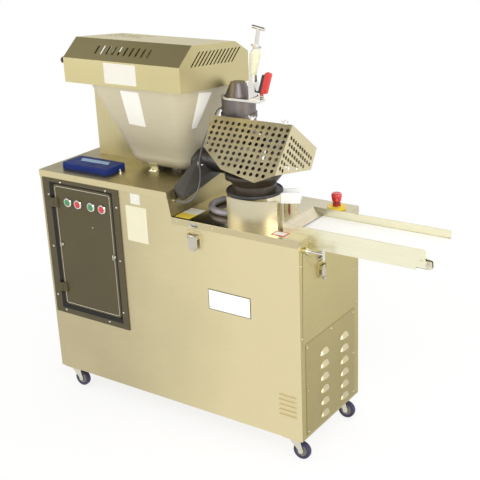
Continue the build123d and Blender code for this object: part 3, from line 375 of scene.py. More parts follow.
def clampFinish():  # black arm and hub, red grip on its right
    f = Finish("clampTwoTone")
    lean = math.radians(clamp["lean"])
    x, z = f.axis("X") - clamp["x"], f.axis("Z") - clamp["z"]
    side = x * math.cos(lean) - z * math.sin(lean)
    grip = side > clamp["gripFrom"]
    fine = f.noise(500, 2)
    worn = f.ramp(f.noise(60, 4), 0.55, 0.8) * 0.25
    red = f.blend(worn, (0.58, 0.035, 0.025), (0.4, 0.06, 0.05))
    colour = f.blend(grip, (0.02, 0.02, 0.022), red)
    return f.surface(colour, worn * 0.6 + 0.32, 0, f.bump(fine, 0.15, 0.0003))


def frameFinish():  # painted shade: a black band round the door stands for the dark recess it sits in; worn paint outside it
    f = Finish("framePanel")
    strip = within(f.axis("X"), paintedRecessShade["x"]) * within(f.axis("Z"), paintedRecessShade["z"])
    cloud = f.noise(4, 4, rough=0.6)
    worn = f.blend(cloud, (0.068, 0.056, 0.03), (0.098, 0.081, 0.044))
    # painted shade of the door's recess
    colour = f.blend(strip, worn, (0.012, 0.011, 0.01))
    fine = f.bump(f.noise(420, 2), 0.15, 0.0002)
    return f.surface(colour, cloud * 0.12 + 0.38, 0, fine, Specular_IOR_Level=0.2)


def stopFinish():  # yellow ring, dark collar
    f = Finish("stopRing")
    collar = f.axis("Z") > collarFrom
    cloud = f.noise(40, 3)
    yellow = f.blend(cloud, (0.72, 0.52, 0.02), (0.86, 0.66, 0.05))
    colour = f.blend(collar, yellow, (0.3, 0.016, 0.016))
    return f.surface(colour, cloud * 0.14 + 0.28, 0, f.bump(f.noise(500, 2), 0.1, 0.0002))


finishes["clamp"] = clampFinish()
finishes["frame"] = frameFinish()
finishes["stop"] = stopFinish()
wearing = {  # nodes that show; the others are replaced below
    "front": ["front_panel", "left_panel", "rear_panel", "base_frame", "control_box"],
    "side": ["right_panel"],
    "deck": ["upper_deck"],
    "lid": ["lower_deck"],
    "tower": ["tower"],
    "conveyor": ["conveyor_channel"],
    "infeed": ["knife"],
    "drum": ["drum", "rounder_cone", "discharge_guide"],
    "chrome": ["t_handle", "lock_rod", "auger", "drive_roller", "tail_roller", "head_bracket"],
    "nickel": ["draw_latch_lever", "side_latch_lever"],
    "zinc": ["caster_brake"] + [n for n in nodes if n.startswith("caster_fork")],
    "head": ["head_housing"],
    "frame": ["control_frame"],
    "door": ["control_door"],
    "black": ["hood_knob", "knife_roller"],
    "post": ["lock_post"],
    "funnel": ["funnel"],
    "white": ["discharge_chute"],
    "belt": ["belt"],
    "motor": ["auger_gear_motor", "rounder_gear_motor", "knife_motor"],
    "stop": ["stop_base"],
    "case": ["accessory_case"],
    "clamp": ["clamp_lever"],
}
softEdges = {  # bends and cut edges that catch the light, in metres
    "front_panel": 0.0012, "right_panel": 0.001, "upper_deck": 0.0014, "lower_deck": 0.0014,
    "tower": 0.0014, "control_frame": 0.001, "control_door": 0.0008, "conveyor_channel": 0.001,
    "accessory_case": 0.004, "draw_latch_lever": 0.0006, "side_latch_lever": 0.0006,
    "head_bracket": 0.0012, "discharge_chute": 0.0014, "clamp_lever": 0.001,
}
for finish, names in wearing.items():
    for name in names:
        slots = nodes[name].data.materials
        slots.clear()
        slots.append(finishes[finish])
for name, width in softEdges.items():
    merge = nodes[name].modifiers.new("weld", "WELD")
    merge.merge_threshold = 0.00002
    bevel = nodes[name].modifiers.new("edge", "BEVEL")
    bevel.width = width
    bevel.segments = 2
    bevel.angle_limit = math.radians(38)
    bevel.harden_normals = True
print("finishes on", sum(len(names) for names in wearing.values()), "nodes")


# pieces, in millimetres
datum = {"front": -225.5, "lip": -227.5, "door": -230.5, "side": 407.5, "lowDeck": 963, "highDeck": 1064}
weldGap = 0.01


def weld(bm):
    bmesh.ops.remove_doubles(bm, verts=bm.verts, dist=weldGap / 1000)


def meshOf(name, bm):
    bmesh.ops.recalc_face_normals(bm, faces=bm.faces)
    mesh = bpy.data.meshes.new(name)
    bm.to_mesh(mesh)
    bm.free()
    return mesh


def join(name, data, body, instead=None):  # piece in the scene, on its body
    piece = placed(name, data)
    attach(piece, body)
    if instead:
        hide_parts(instead)
    return piece


def addPiece(name, form, body, look, sharp=32, instead=None):
    mesh = form if isinstance(form, bpy.types.Mesh) else meshOf(name, form)
    for polygon in mesh.polygons:
        polygon.use_smooth = True
    mesh.set_sharp_from_angle(angle=math.radians(sharp))
    for key in [look] if isinstance(look, str) else look:
        mesh.materials.append(finishes[key])
    join(name, mesh, body, instead)


def addLine(curve, kind, spots):
    line = curve.splines.new(kind)
    line.points.add(len(spots) - 1)
    for point, spot in zip(line.points, spots):
        point.co = (*(v / 1000 for v in spot), 1)
    return line


def tubeAlong(name, kind, spots, radius, rounds, look, steps=12):  # round bar along points, as a curve
    curve = bpy.data.curves.new(name, "CURVE")
    curve.dimensions = "3D"
    curve.bevel_depth = radius / 1000
    curve.bevel_resolution = rounds
    curve.resolution_u = steps
    curve.materials.append(finishes[look])
    return curve, addLine(curve, kind, spots)


def turn(bm, profile, at, axis, steps):  # profile of (radius, height, finish number) turned round an axis
    axis = Vector(axis).normalized()
    across = axis.orthogonal().normalized()
    third = axis.cross(across)
    rings = []
    for spot in profile:
        r, h = spot[0] / 1000, spot[1] / 1000
        centre = mm(*at) + axis * h
        if r < 1e-6:
            rings.append([bm.verts.new(centre)])
            continue
        ring = []
        for i in range(steps):
            a = 2 * math.pi * i / steps
            ring.append(bm.verts.new(centre + (across * math.cos(a) + third * math.sin(a)) * r))
        rings.append(ring)
    for spot, low, high in zip(profile, rings, rings[1:]):
        for i in range(steps):
            j = (i + 1) % steps
            corners = [low[i % len(low)], low[j % len(low)], high[j % len(high)], high[i % len(high)]]
            corners = list(dict.fromkeys(corners))
            if len(corners) > 2:
                made = bm.faces.new(corners)
                made.material_index = spot[2] if len(spot) > 2 else 0


def addScrews(bm, spots, axis, r, h, steps=14):  # button-head screws with a socket
    profile = [(0, h * 0.35), (r * 0.42, h * 0.35), (r * 0.46, h * 0.95), (r * 0.6, h),
               (r * 0.86, h * 0.72), (r, h * 0.2), (r, -h * 0.1)]
    for spot in spots:
        turn(bm, profile, spot, axis, steps)


def face(axis, at, us, vs):  # corners of a rectangle square to an axis
    flat = [(us[0], vs[0]), (us[1], vs[0]), (us[1], vs[1]), (us[0], vs[1])]
    place = "XYZ".index(axis)
    return [(*spot[:place], at, *spot[place:]) for spot in flat]


def softCorners(points, radius, steps):  # closed line with round corners
    ring = []
    for i, p in enumerate(points):
        back = (points[i - 1] - p).normalized() * radius
        ahead = (points[(i + 1) % len(points)] - p).normalized() * radius
        for k in range(steps + 1):
            t = k / steps
            ring.append(p + back * (1 - t) ** 2 + ahead * t ** 2)
    return ring


def slabOn(bm, corners, thick, radius=4, edge=0.5):  # thin plate with round corners on four points
    thick, radius, edge = thick / 1000, radius / 1000, edge / 1000
    points = [mm(*c) for c in corners]
    normal = (points[1] - points[0]).cross(points[3] - points[0]).normalized()
    middle = sum(points, Vector()) / 4
    outline = softCorners(points, radius, 4)
    rings = []
    for lift, draw in ((0, 0), (thick - edge, 0), (thick, edge)):
        rings.append([bm.verts.new(p + normal * lift + (middle - p).normalized() * draw) for p in outline])
    joinRings(bm, rings)
    bm.faces.new(rings[-1])
    bm.faces.new(rings[0][::-1])


def joinRings(bm, rings):
    for low, high in zip(rings, rings[1:]):
        for i in range(len(low)):
            j = (i + 1) % len(low)
            bm.faces.new((low[i], low[j], high[j], high[i]))


def hullOn(bm, points, edge):  # closed form round a few corner points, edges taken off
    form = bmesh.new()
    bmesh.ops.convex_hull(form, input=[form.verts.new(mm(*p)) for p in points])
    bmesh.ops.dissolve_limit(form, angle_limit=0.02, verts=form.verts, edges=form.edges)
    bmesh.ops.bevel(form, geom=form.edges, offset=edge / 1000, segments=2, profile=0.6, affect="EDGES")
    bm.from_mesh(meshOf("form", form))


# switch cable: the same route as the solid
cable = {"diameter": 6, "length": 522}
route = [
    (-120.94, 64.31, 1352), (-138.94, 64.31, 1352), (-152.94, 50.31, 1312), (-187.98, 12.51, 1216),
    (-190.98, -5.49, 1166), (-184.98, -27.49, 1135), (-142.98, -73.49, 1114), (-118.98, -117.49, 1070),
    (-124.98, -149.49, 1028), (-154.98, -173.49, 1010), (-171.38, -189.54, 1022.09),
    (-189.38, -189.54, 1022.09),
]


def layCable():
    curve, line = tubeAlong("switchCable", "NURBS", route, cable["diameter"] / 2, 4, "cable", 8)
    line.order_u = 3
    line.use_endpoint_u = True
    piece = join("switchCable", curve, "cabinet", "switch_cable")


layCable()
print("cable laid")

# hopper: sloping walls that run into a round bowl, closed below
hopper = {"rim": (-616, -118, -213.5, 214.4, 1475), "skirt": (-574.6, -245.1, -34.9, 140.9, 1140),
          "foot": (-480, -290, 30, 84, 1079), "corner": 72, "footCorner": 26, "rearLeft": 180, "wall": 3,
          "wallRings": 8, "bowlRings": 12}


def roundRing(bm, box, radii, steps=8):  # rounded rectangle, from its front left corner
    x0, x1, y0, y1, z = box
    ring = []
    for k, r in enumerate(radii):
        x = x0 + r if k in (0, 3) else x1 - r
        y = y0 + r if k < 2 else y1 - r
        for i in range(steps + 1):
            a = math.pi * (1 + k / 2 + i / steps / 2)
            ring.append(bm.verts.new(mm(x + r * math.cos(a), y + r * math.sin(a), z)))
    return ring


def hopperSkin(bm, inset):
    h = hopper
    rings = []

    def ringAt(first, second, draw, sink, corner, rear):
        box = [a + (b - a) * draw for a, b in zip(first, second)]
        box[4] = first[4] + (second[4] - first[4]) * sink
        grown = (box[0] + inset, box[1] - inset, box[2] + inset, box[3] - inset, box[4])
        rings.append(roundRing(bm, grown, [corner - inset] * 3 + [rear - inset]))

    for k in range(h["wallRings"]):
        t = k / h["wallRings"]
        rear = h["rearLeft"] + (h["corner"] - h["rearLeft"]) * t
        ringAt(h["rim"], h["skirt"], t, t, h["corner"], rear)
    foot = (*h["foot"][:4], h["foot"][4] + inset)
    for k in range(h["bowlRings"] + 1):
        a = math.pi * k / (2 * h["bowlRings"])
        corner = h["corner"] + (h["footCorner"] - h["corner"]) * (1 - math.cos(a))
        ringAt(h["skirt"], foot, 1 - math.cos(a), math.sin(a), corner, corner)
    joinRings(bm, rings)
    bm.faces.new(rings[-1])
    return rings[0]


def buildHopper():
    bm = bmesh.new()
    joinRings(bm, [hopperSkin(bm, 0), hopperSkin(bm, hopper["wall"])])
    addPiece("hopperShell", bm, "cabinet", "hopper", 40, instead="hopper")


buildHopper()

# feed barrel from the bowl to the head, on two feet under the bowl
barrel = {"axis": (54.7, 1128), "radius": 47, "wall": 4, "lip": 3, "x": (-300, -66),
          "feet": (-430, -330), "footHalf": (12, 34), "footHigh": 15.5}


def buildBarrel():
    r, (x0, x1) = barrel["radius"], barrel["x"]
    bore, lip = r - barrel["wall"], r + barrel["lip"]
    y, z = barrel["axis"]
    bm = bmesh.new()
    profile = [(bore, x0), (r, x0), (r, x1 - 12), (lip, x1 - 11), (lip, x1), (bore, x1), (bore, x0)]
    turn(bm, profile, (0, y, z), (1, 0, 0), 48)
    weld(bm)
    long, wide = barrel["footHalf"]
    for x in barrel["feet"]:
        foot = face("Z", datum["highDeck"], (x - long, x + long), (y - wide, y + wide))
        slabOn(bm, foot, barrel["footHigh"])
    addPiece("feedBarrel", bm, "cabinet", "barrel", instead="trough")


buildBarrel()

# feed block: a bar that leans over the step's edge, and the cable's clip post on it
block = {
    "bar": [(-186, -165.7, 1018), (-162.7, -165.7, 1018), (-162.7, -170.3, 1043.6), (-206, -174, 1064),
            (-204, -176.1, 1074), (-186, 110.7, 1064), (-162.7, 110.7, 1067.8), (-162.7, 60, 1110),
            (-162.7, 104, 1126), (-216.9, 110.7, 1064), (-216.9, 60, 1180), (-216.9, 100, 1180)],
    "post": [(x, y, z) for x in (-191, -179) for y in (-32.5, -22.5) for z in (1078, 1129)],
    "screws": [(-162.7, -140, 1036), (-162.7, -60, 1050), (-162.7, 88, 1077)],
}


def buildBlock():
    bm = bmesh.new()
    for form in ("bar", "post"):
        hullOn(bm, block[form], 2)
    addScrews(bm, block["screws"], (1, 0, 0), 6, 4.5, 16)
    addPiece("feedBlock", bm, "cabinet", "block", instead="head_block")


buildBlock()

# bright clip that holds the cable on its post
clip = {"at": (-184.98, -27.49, 1135), "axis": (0.25, -0.55, -0.8), "ring": 6.2, "bore": 3.2,
        "postTop": 1129, "tongue": 2}


def buildClip():
    r, bore = clip["ring"], clip["bore"]
    bm = bmesh.new()
    profile = [(bore, -4), (r - 0.8, -4), (r, -3), (r, 3), (r - 0.8, 4), (bore, 4), (bore, -4)]
    turn(bm, profile, clip["at"], clip["axis"], 24)
    weld(bm)
    x, y = clip["at"][:2]
    z = clip["postTop"]
    tongue = [(x - 6, y - 5, z), (x + 24, y - 9, z), (x + 24, y + 3, z), (x - 6, y + 5, z)]
    slabOn(bm, tongue, clip["tongue"], 3)
    addScrews(bm, [(x + 17, y - 3, z + clip["tongue"])], (0, 0, 1), 4.2, 3)
    addPiece("cableClip", bm, "cabinet", "chrome")


buildClip()
print("feed built")

# rounder: curved shield before the drum, black seal on its rim, grey rail at its left, plate at the belt
shield = {"centre": (113.8, 56.3), "radius": 222, "turns": (250.6, 307.8), "z": (963, 1065.5),
          "sheet": 1.8, "hem": 1.2, "steps": 32}
seal = {"centre": (105.22, -53.64), "radius": 110, "z": 1066}
rail = {"centre": (-13, -18, 976.5), "radius": 100, "turns": (150, 288), "tube": 13.5, "steps": 40}
infeed = {"x": (295.7, 341), "y": (-145.5, 75.5), "z": (990, 966)}


def arc(turns, steps):  # angles from the first to the last
    first, last = turns
    return [math.radians(first + (last - first) * k / steps) for k in range(steps + 1)]


def buildShield():
    bm = bmesh.new()
    (x, y), r, (z0, z1) = shield["centre"], shield["radius"], shield["z"]
    out = r + shield["sheet"]
    hem = out + shield["hem"]
    section = [(r, z0), (out, z0), (out, z1 - 4), (hem, z1 - 3), (hem, z1), (r, z1)]
    rows = []
    for a in arc(shield["turns"], shield["steps"]):
        rows.append([bm.verts.new(mm(x + q * math.cos(a), y + q * math.sin(a), z)) for q, z in section])
    joinRings(bm, rows)
    bm.faces.new(rows[0])
    bm.faces.new(rows[-1])
    addPiece("drumShield", bm, "cabinet", "shield")


def buildSeal():
    bm = bmesh.new()
    q = seal["radius"]
    profile = [(q, 0), (q + 1.2, 0), (q + 2.6, 2), (q + 2.8, 8.5), (q + 1.4, 11.2), (q - 2, 11.8),
               (q - 4, 10.8)]
    turn(bm, profile, (*seal["centre"], seal["z"]), (0, 0, 1), 72)
    addPiece("drumSeal", bm, "cabinet", "black")


def buildRail():
    x, y, z = rail["centre"]
    r = rail["radius"]
    spots = [(x + r * math.cos(a), y + r * math.sin(a), z) for a in arc(rail["turns"], rail["steps"])]
    curve, line = tubeAlong("drumRail", "POLY", spots, rail["tube"], 6, "track")
    curve.use_fill_caps = True
    line.use_smooth = True
    join("drumRail", curve, "cabinet", "round_track")


def buildInfeed():
    bm = bmesh.new()
    (x0, x1), (y0, y1), (z0, z1) = infeed["x"], infeed["y"], infeed["z"]
    slabOn(bm, [(x0, y0, z0), (x1, y0, z1), (x1, y1, z1), (x0, y1, z0)], 1.5, 3)
    addPiece("infeedPlate", bm, "cabinet", "infeed")


buildShield()
buildSeal()
buildRail()
buildInfeed()
print("rounder built")


def cutSheet(rings, thick, place, edge=0.3):  # sheet with holes, from flat rings with the outline first
    curve = bpy.data.curves.new("sheetCut", "CURVE")
    curve.dimensions = "2D"
    curve.fill_mode = "BOTH"
    curve.extrude = (thick / 2 - edge) / 1000
    curve.bevel_depth = edge / 1000
    curve.bevel_resolution = 1
    for ring in rings:
        line = addLine(curve, "POLY", [(u, v, 0) for u, v in ring])
        line.use_cyclic_u = True
    cutter = placed("sheetCut", curve)
    bpy.context.view_layer.update()
    mesh = bpy.data.meshes.new_from_object(cutter.evaluated_get(bpy.context.evaluated_depsgraph_get()))
    bpy.data.objects.remove(cutter)
    bpy.data.curves.remove(curve)
    mesh.transform(place)
    mesh.name = "sheet"
    return mesh


def upright(start):  # place of a sheet square to X
    return Matrix.Translation(start) @ Matrix(((0, 0, 1), (1, 0, 0), (0, 1, 0))).to_4x4()


def leaning(start, up, out):  # place of a sheet along X that leans
    return Matrix.Translation(start) @ Matrix((Vector((1, 0, 0)), up, out)).transposed().to_4x4()


# hood: folded cover, ends with long slanted slots, hinge leaves at the rear
hood = {
    "x": (-697.34, -100.7), "sheet": 2, "hinge": (244.36, 1430), "knuckles": (-569.3, -226.1),
    "outline": [(-225.5, 1468), (-225.5, 1568), (-137.5, 1638), (148.36, 1609.2), (236.36, 1556.1),
                (236.36, 1432)],
    "slots": 12, "slotLow": (-156, 1557), "slotStep": (24.4, -2.27), "slotRun": (61, 50), "slotWide": 10,
    "vents": 10, "ventStep": 29.8, "vent": (10.7, 45), "ventMiddle": 286.4,
    "topSlots": (8, 2), "topStep": (24, 66), "topSlot": (11, 50), "topMiddle": (125, 190),
    "knuckle": (4.4, 9), "leafHalf": 28,
}


def rectRing(u, v, wide, high, cut=1.5):
    a, b = wide / 2, high / 2
    return [(u - a + cut, v - b), (u + a - cut, v - b), (u + a, v - b + cut), (u + a, v + b - cut),
            (u + a - cut, v + b), (u - a + cut, v + b), (u - a, v + b - cut), (u - a, v - b + cut)]


def spread(middle, count, step):  # evenly spaced places round a middle
    return [middle + (i - (count - 1) / 2) * step for i in range(count)]


def buildHood():
    h = hood
    (x0, x1), t = h["x"], h["sheet"]
    bm = bmesh.new()
    ends = [h["outline"][::-1]]
    (y, z), (dy, dz), (ry, rz), w = h["slotLow"], h["slotStep"], h["slotRun"], h["slotWide"]
    for k in range(h["slots"]):
        a, b = y + k * dy, z + k * dz
        ends.append([(a, b), (a + w, b - 1), (a + ry + w, b + rz - 1), (a + ry, b + rz)])
    for x in (x0 + t / 2, x1 - t / 2):
        bm.from_mesh(cutSheet(ends, t, upright((x / 1000, 0, 0))))
    long = x1 - x0
    slopeSheet, topSheet = 1, 2  # counted from the front skirt
    for k, (low, high) in enumerate(zip(h["outline"], h["outline"][1:])):
        run = Vector((0, high[0] - low[0], high[1] - low[1]))
        wide = run.length
        up = run.normalized()
        out = Vector((1, 0, 0)).cross(up)
        rings = [[(0, 0), (long, 0), (long, wide), (0, wide)]]
        if k == slopeSheet:
            for u in spread(h["ventMiddle"], h["vents"], h["ventStep"]):
                rings.append(rectRing(u, wide / 2, *h["vent"]))
        if k == topSheet:
            for u in spread(h["topMiddle"][0], h["topSlots"][0], h["topStep"][0]):
                for v in spread(h["topMiddle"][1], h["topSlots"][1], h["topStep"][1]):
                    rings.append(rectRing(u, v, *h["topSlot"]))
        start = Vector((x0, *low)) - out * (t / 2)
        bm.from_mesh(cutSheet(rings, t, leaning(start / 1000, up, out)))
    y, z = h["hinge"]
    half, (bore, r) = h["leafHalf"], h["knuckle"]
    for x in h["knuckles"]:
        leaf = [(a, b, c) for a in (x - half, x + half) for b in (y - 10, y) for c in (z + 5, z + 24)]
        hullOn(bm, leaf, 0.8)
        profile = [(bore, -half), (r, -half), (r, half), (bore, half), (bore, -half)]
        turn(bm, profile, (x, y, z), (1, 0, 0), 28)
    weld(bm)
    addPiece("hoodCover", bm, "hood", "hood", 12, instead="hood")


# service panel with pressed louvres: their faces painted paler as lit, their mouths closed and painted black
# as shade
louvres = {"x": 407.5, "y": (-189.5, 205.5), "z": (120, 525.9), "columns": (-45, 118), "rows": 6,
           "first": 145, "step": 56.5, "wide": 66, "high": 25, "out": 10, "root": 1, "rise": 1.6,
           "curve": [(1, 0), (0.93, 0.2), (0.45, 0.62)], "steps": 10}


def pressLouvre(bm, middle, foot):
    v = louvres
    rows = []
    for i in range(v["steps"] + 1):
        t = 2 * i / v["steps"] - 1
        full = max(0.02, (1 - t * t)) ** 0.5
        y = middle + t * v["wide"] / 2
        deep, tall = v["out"] * full, v["high"] * full
        spots = [(v["root"], foot)]
        spots += [(v["rise"] + deep * a, foot + tall * b) for a, b in v["curve"]]
        spots.append((v["root"], foot + tall))
        rows.append([bm.verts.new(mm(v["x"] + a, y, b)) for a, b in spots])
    paintedShadeMouth, paintedLightSlat = 2, 1  # numbers of the finishes: painted shade for the closed mouth, painted light for the slat
    for low, high in zip(rows, rows[1:]):
        for j in range(5):
            made = bm.faces.new((low[j], low[(j + 1) % 5], high[(j + 1) % 5], high[j]))
            made.material_index = paintedShadeMouth if j == 0 else paintedLightSlat
    for end in (rows[0], rows[-1]):
        bm.faces.new(end).material_index = paintedLightSlat


def buildLouvres():
    v = louvres
    bm = bmesh.new()
    slabOn(bm, face("X", v["x"], v["y"], v["z"]), 2)
    for middle in v["columns"]:
        for row in range(v["rows"]):
            pressLouvre(bm, middle, v["first"] + row * v["step"])
    looks = ["louvre", "litSlat", "black"]
    addPiece("louvreSheet", bm, "cabinet", looks, 40, instead="louvre_panel")


buildHood()
buildLouvres()
print("hood and louvres built")

# guard: perforated sheets with round holes, and behind the left of the front one a dark sheet that is
# painted shade seen through the holes
guard = {"x0": -103.34, "x1": 271.54, "ridgeY": -30.48, "top": 1346, "rise": 163, "run": 133,
         "drop": 40, "hole": 8.3, "margin": 10.5, "sheet": 2, "back": (176, -134), "backLong": 221.2,
         "heel": (129, -211), "flange": 14, "sink": (0, 1.2, 1.6), "rearFrom": 47}
frontGrid = {"first": (364, -24.5), "across": (27.9, 0), "down": (-1.1, -24.4), "rows": 10, "columns": 14}
sideGrid = {"first": (-10, -49), "across": (15.5, -12.7), "down": (-13.8, -22), "rows": 7, "columns": 14}
liner = {"outline": [(14, -10), (176, -10), (186, -196), (112, -196), (24, -120)], "sheet": 1,
         "behind": 1.5}


def inside(outline, u, v, margin):
    count = len(outline)
    for i in range(count):
        (u0, v0), (u1, v1) = outline[i], outline[(i + 1) % count]
        edge = math.hypot(u1 - u0, v1 - v0)
        if -((u1 - u0) * (v - v0) - (v1 - v0) * (u - u0)) / edge < margin:
            return False
    return True


def holesIn(outline, grid, sides=18):
    turns = [2 * math.pi * k / sides for k in range(sides)]
    (u0, v0), (du, dv), (eu, ev) = grid["first"], grid["across"], grid["down"]
    r = guard["hole"]
    rings = [outline]
    for row in range(grid["rows"]):
        for column in range(-grid["columns"], grid["columns"]):
            u = u0 + column * du + row * eu
            v = v0 + column * dv + row * ev
            if inside(outline, u, v, guard["margin"]):
                rings.append([(u + r * math.cos(a), v + r * math.sin(a)) for a in turns])
    return rings


def buildGuardFront():
    g = guard
    long = g["x1"] - g["x0"]
    lean = math.hypot(g["rise"], g["run"])
    front = [(0, 0), (long, 0), (long, -lean), (0.8 * long, -lean - g["drop"]),
             (0.352 * long, -lean - 0.2 * g["drop"]), (0.04 * long, -0.648 * lean)]
    up = Vector((0, g["run"], g["rise"])) / lean
    out = Vector((0, -g["rise"], g["run"])) / lean
    left, right = (Vector((g[end], g["ridgeY"], g["top"])) for end in ("x0", "x1"))
    place = leaning(left / 1000 - out * (g["sheet"] / 2000), up, out)
    bm = bmesh.new()
    bm.from_mesh(cutSheet(holesIn(front, frontGrid), g["sheet"], place))
    flange = Vector((0, *g["back"])) / g["backLong"] * g["flange"]
    sink = Vector(g["sink"])
    slabOn(bm, [right + flange - sink, right - sink, left - sink, left + flange - sink], 2, 0.6)
    behind = place @ Matrix.Translation((0, 0, -liner["behind"] / 1000))
    addPiece("guardShadeSheet", cutSheet([liner["outline"]], liner["sheet"], behind), "guard", "liner")
    addPiece("guardFrontSheet", bm, "guard", "guard", 12, instead="guard_front")


def buildGuardSide():
    g = guard
    side = [(0, 0), g["back"], g["heel"], (-g["run"], -g["rise"])]
    bm = bmesh.new()
    place = upright(mm(g["x1"] + g["sheet"] / 2, g["ridgeY"], g["top"]))
    bm.from_mesh(cutSheet(holesIn(side, sideGrid), g["sheet"], place))
    share = g["flange"] / g["backLong"]
    bend = [tuple(share * v for v in g["back"]), g["back"], g["heel"]]
    bend = [(g["ridgeY"] + y, g["top"] + z) for y, z in bend]
    x0, x1 = g["rearFrom"], g["x1"]
    for low, high in zip(bend, bend[1:]):
        slabOn(bm, [(x0, *low), (x1, *low), (x1, *high), (x0, *high)], 2, 0.8)
    addPiece("guardSideSheet", bm, "guard", "guard", 12, instead="guard_side")


buildGuardFront()
buildGuardSide()
print("guard built")

# wing nuts on the guard's ridge
wing = {
    "at": [(89.7, -30.5, 1346.5), (239.8, -30.5, 1346.5)], "half": 1.1,
    "nut": [(8.5, -1), (8.5, 1.5), (6, 2), (5.2, 10), (3, 11), (3, 16), (0, 16.5)],
    "leaf": [(4, 2), (10, 4), (16.5, 10), (17.5, 15), (14.5, 16.5), (10.5, 13), (4, 10)],
}


def buildWingNuts():
    bm = bmesh.new()
    for x, y, z in wing["at"]:
        turn(bm, wing["nut"], (x, y, z), (0, 0, 1), 16)
        for side in (-1, 1):
            rows = []
            for t in (-wing["half"], wing["half"]):
                rows.append([bm.verts.new(mm(x + side * u, y + t, z + v)) for u, v in wing["leaf"]])
            bm.faces.new(rows[0])
            bm.faces.new(rows[1][::-1])
            joinRings(bm, rows)
    addPiece("guardWingNuts", bm, "guard", "chrome")


buildWingNuts()

# casters: wheels with a moulded tread, ribbed hub and axle nuts
wheel = {"radius": 38, "half": 12, "xs": (-856.5, 351.5), "ys": (-178.5, 194.5), "trail": 26,
         "ribs": 6, "ribAt": (14.2, 7.6), "rib": [(0, 1.8, 1), (1.8, 1.6, 1), (2.4, 0, 1)]}


def wheelProfile():  # radius, height and number of the finish from the hub's nut out to the tread and back
    r, h = wheel["radius"], wheel["half"]
    half = [(0, 12.8, 2), (5.5, 12.8, 2), (6, 11.8, 1), (9, 11.2, 1), (10.5, 8.5, 1), (18, 7.5, 1),
            (20.5, 9.8, 1), (23.5, 9.8, 1), (24.5, 8.2, 0), (26.2, 9.8, 0), (r - 5, h, 0),
            (r - 1.8, h - 1.2, 0), (r - 0.3, h - 4.5, 0), (r, h - 8, 0)]
    back = [(a, -b, n) for a, b, n in half[::-1]]
    whole = half + [(r, 0, 0)] + back
    numbers = [n for a, b, n in half[1:]] + [0] + [n for a, b, n in back] + [2]
    return [(a, b, n) for (a, b, c), n in zip(whole, numbers)]


def buildWheels():
    profile = wheelProfile()
    reach, out = wheel["ribAt"]
    for end, x in zip(("left", "right"), wheel["xs"]):
        for side, y in zip(("front", "rear"), wheel["ys"]):
            middle, z = x + wheel["trail"], wheel["radius"]
            bm = bmesh.new()
            turn(bm, profile, (middle, y, z), (0, 1, 0), 48)
            for way in (-1, 1):
                for k in range(wheel["ribs"]):
                    a = 2 * math.pi * k / wheel["ribs"]
                    spot = (middle + math.cos(a) * reach, y + way * out, z + math.sin(a) * reach)
                    turn(bm, wheel["rib"], spot, (0, way, 0), 8)
            node = f"caster_wheel_{end}_{side}"
            looks = ["tread", "hub", "zinc"]
            addPiece(f"casterWheel_{end}_{side}", bm, node, looks, 40, instead=node)


buildWheels()
print("casters built")

# push buttons: domed caps and chrome bezels on the control door
button = {"xs": (-751.32, -692.24, -616.57, -554.18), "z": 938, "cap": 13.4, "ring": 19.8}


def buildButtons():
    bm = bmesh.new()
    r, c = button["ring"], button["cap"]
    bezel = [(14.1, 4), (14.1, 8.5), (15.3, 9.5), (r - 1, 8.5), (r + 1.2, 5.5), (r + 1.6, 0)]
    dome = [(c, 0), (c, 10.5), (c - 0.6, 11.8), (c - 3, 12.8), (c * 0.45, 13.7), (0, 14)]
    for x, name in zip(button["xs"], ("start_a", "stop_a", "start_b", "stop_b")):
        at = (x, datum["door"], button["z"])
        turn(bm, bezel, at, (0, -1, 0), 36)
        cap = bmesh.new()
        turn(cap, dome, at, (0, -1, 0), 36)
        colour = "green" if name.startswith("start") else "red"
        node = f"button_{name}"
        addPiece(f"buttonCap_{name}", cap, node, colour, instead=node)
    addPiece("buttonBezels", bm, "control_door", "chrome")


buildButtons()

# control door: bead round its edge, quarter-turn latches; frame screws
door = {
    "x": (-834.3, -502.4), "z": (441.2, 1011), "bead": 9, "beadRadius": 1.6, "beadCorner": 12,
    "latches": [(-817, 733.4), (-512, 728.1)], "screw": (-621.8, 843.5), "grip": (3, 12, 6),
    "latch": [(0, 4.2), (2.2, 4.2), (2.6, 6.2), (7.5, 5.6), (9.2, 3.2), (9.8, 0)],
    "frameScrews": [(-866, 958.6), (-872, 715.5), (-880, 476.8), (-835.6, 410), (-575.1, 410), (-487, 472.8),
                    (-480, 716.9), (-474, 957.9), (-528.8, 1023), (-788, 1023)],
}


def buildDoorBead():
    (x0, x1), (z0, z1), b = door["x"], door["z"], door["bead"]
    corners = face("Y", datum["door"], (x0 + b, x1 - b), (z0 + b, z1 - b))
    spots = softCorners([Vector(c) for c in corners], door["beadCorner"], 5)
    curve, line = tubeAlong("doorBead", "POLY", spots, door["beadRadius"], 2, "nickel")
    line.use_cyclic_u = True
    join("doorBead", curve, "control_door")


def buildDoorFittings():
    y = datum["door"]
    wide, high, out = door["grip"]
    bm = bmesh.new()
    for x, z in door["latches"]:
        turn(bm, door["latch"], (x, y, z), (0, -1, 0), 24)
        slabOn(bm, face("Y", y - out, (x - wide, x + wide), (z - high, z + high)), 3, 2.6)
    x, z = door["screw"]
    addScrews(bm, [(x, y, z)], (0, -1, 0), 4.5, 3)
    addPiece("doorLatches", bm, "control_door", "nickel")

    bm = bmesh.new()
    addScrews(bm, [(x, y, z) for x, z in door["frameScrews"]], (0, -1, 0), 5.2, 3.6)
    addPiece("frameScrews", bm, "cabinet", "zinc")


buildDoorBead()
buildDoorFittings()
print("controls built")

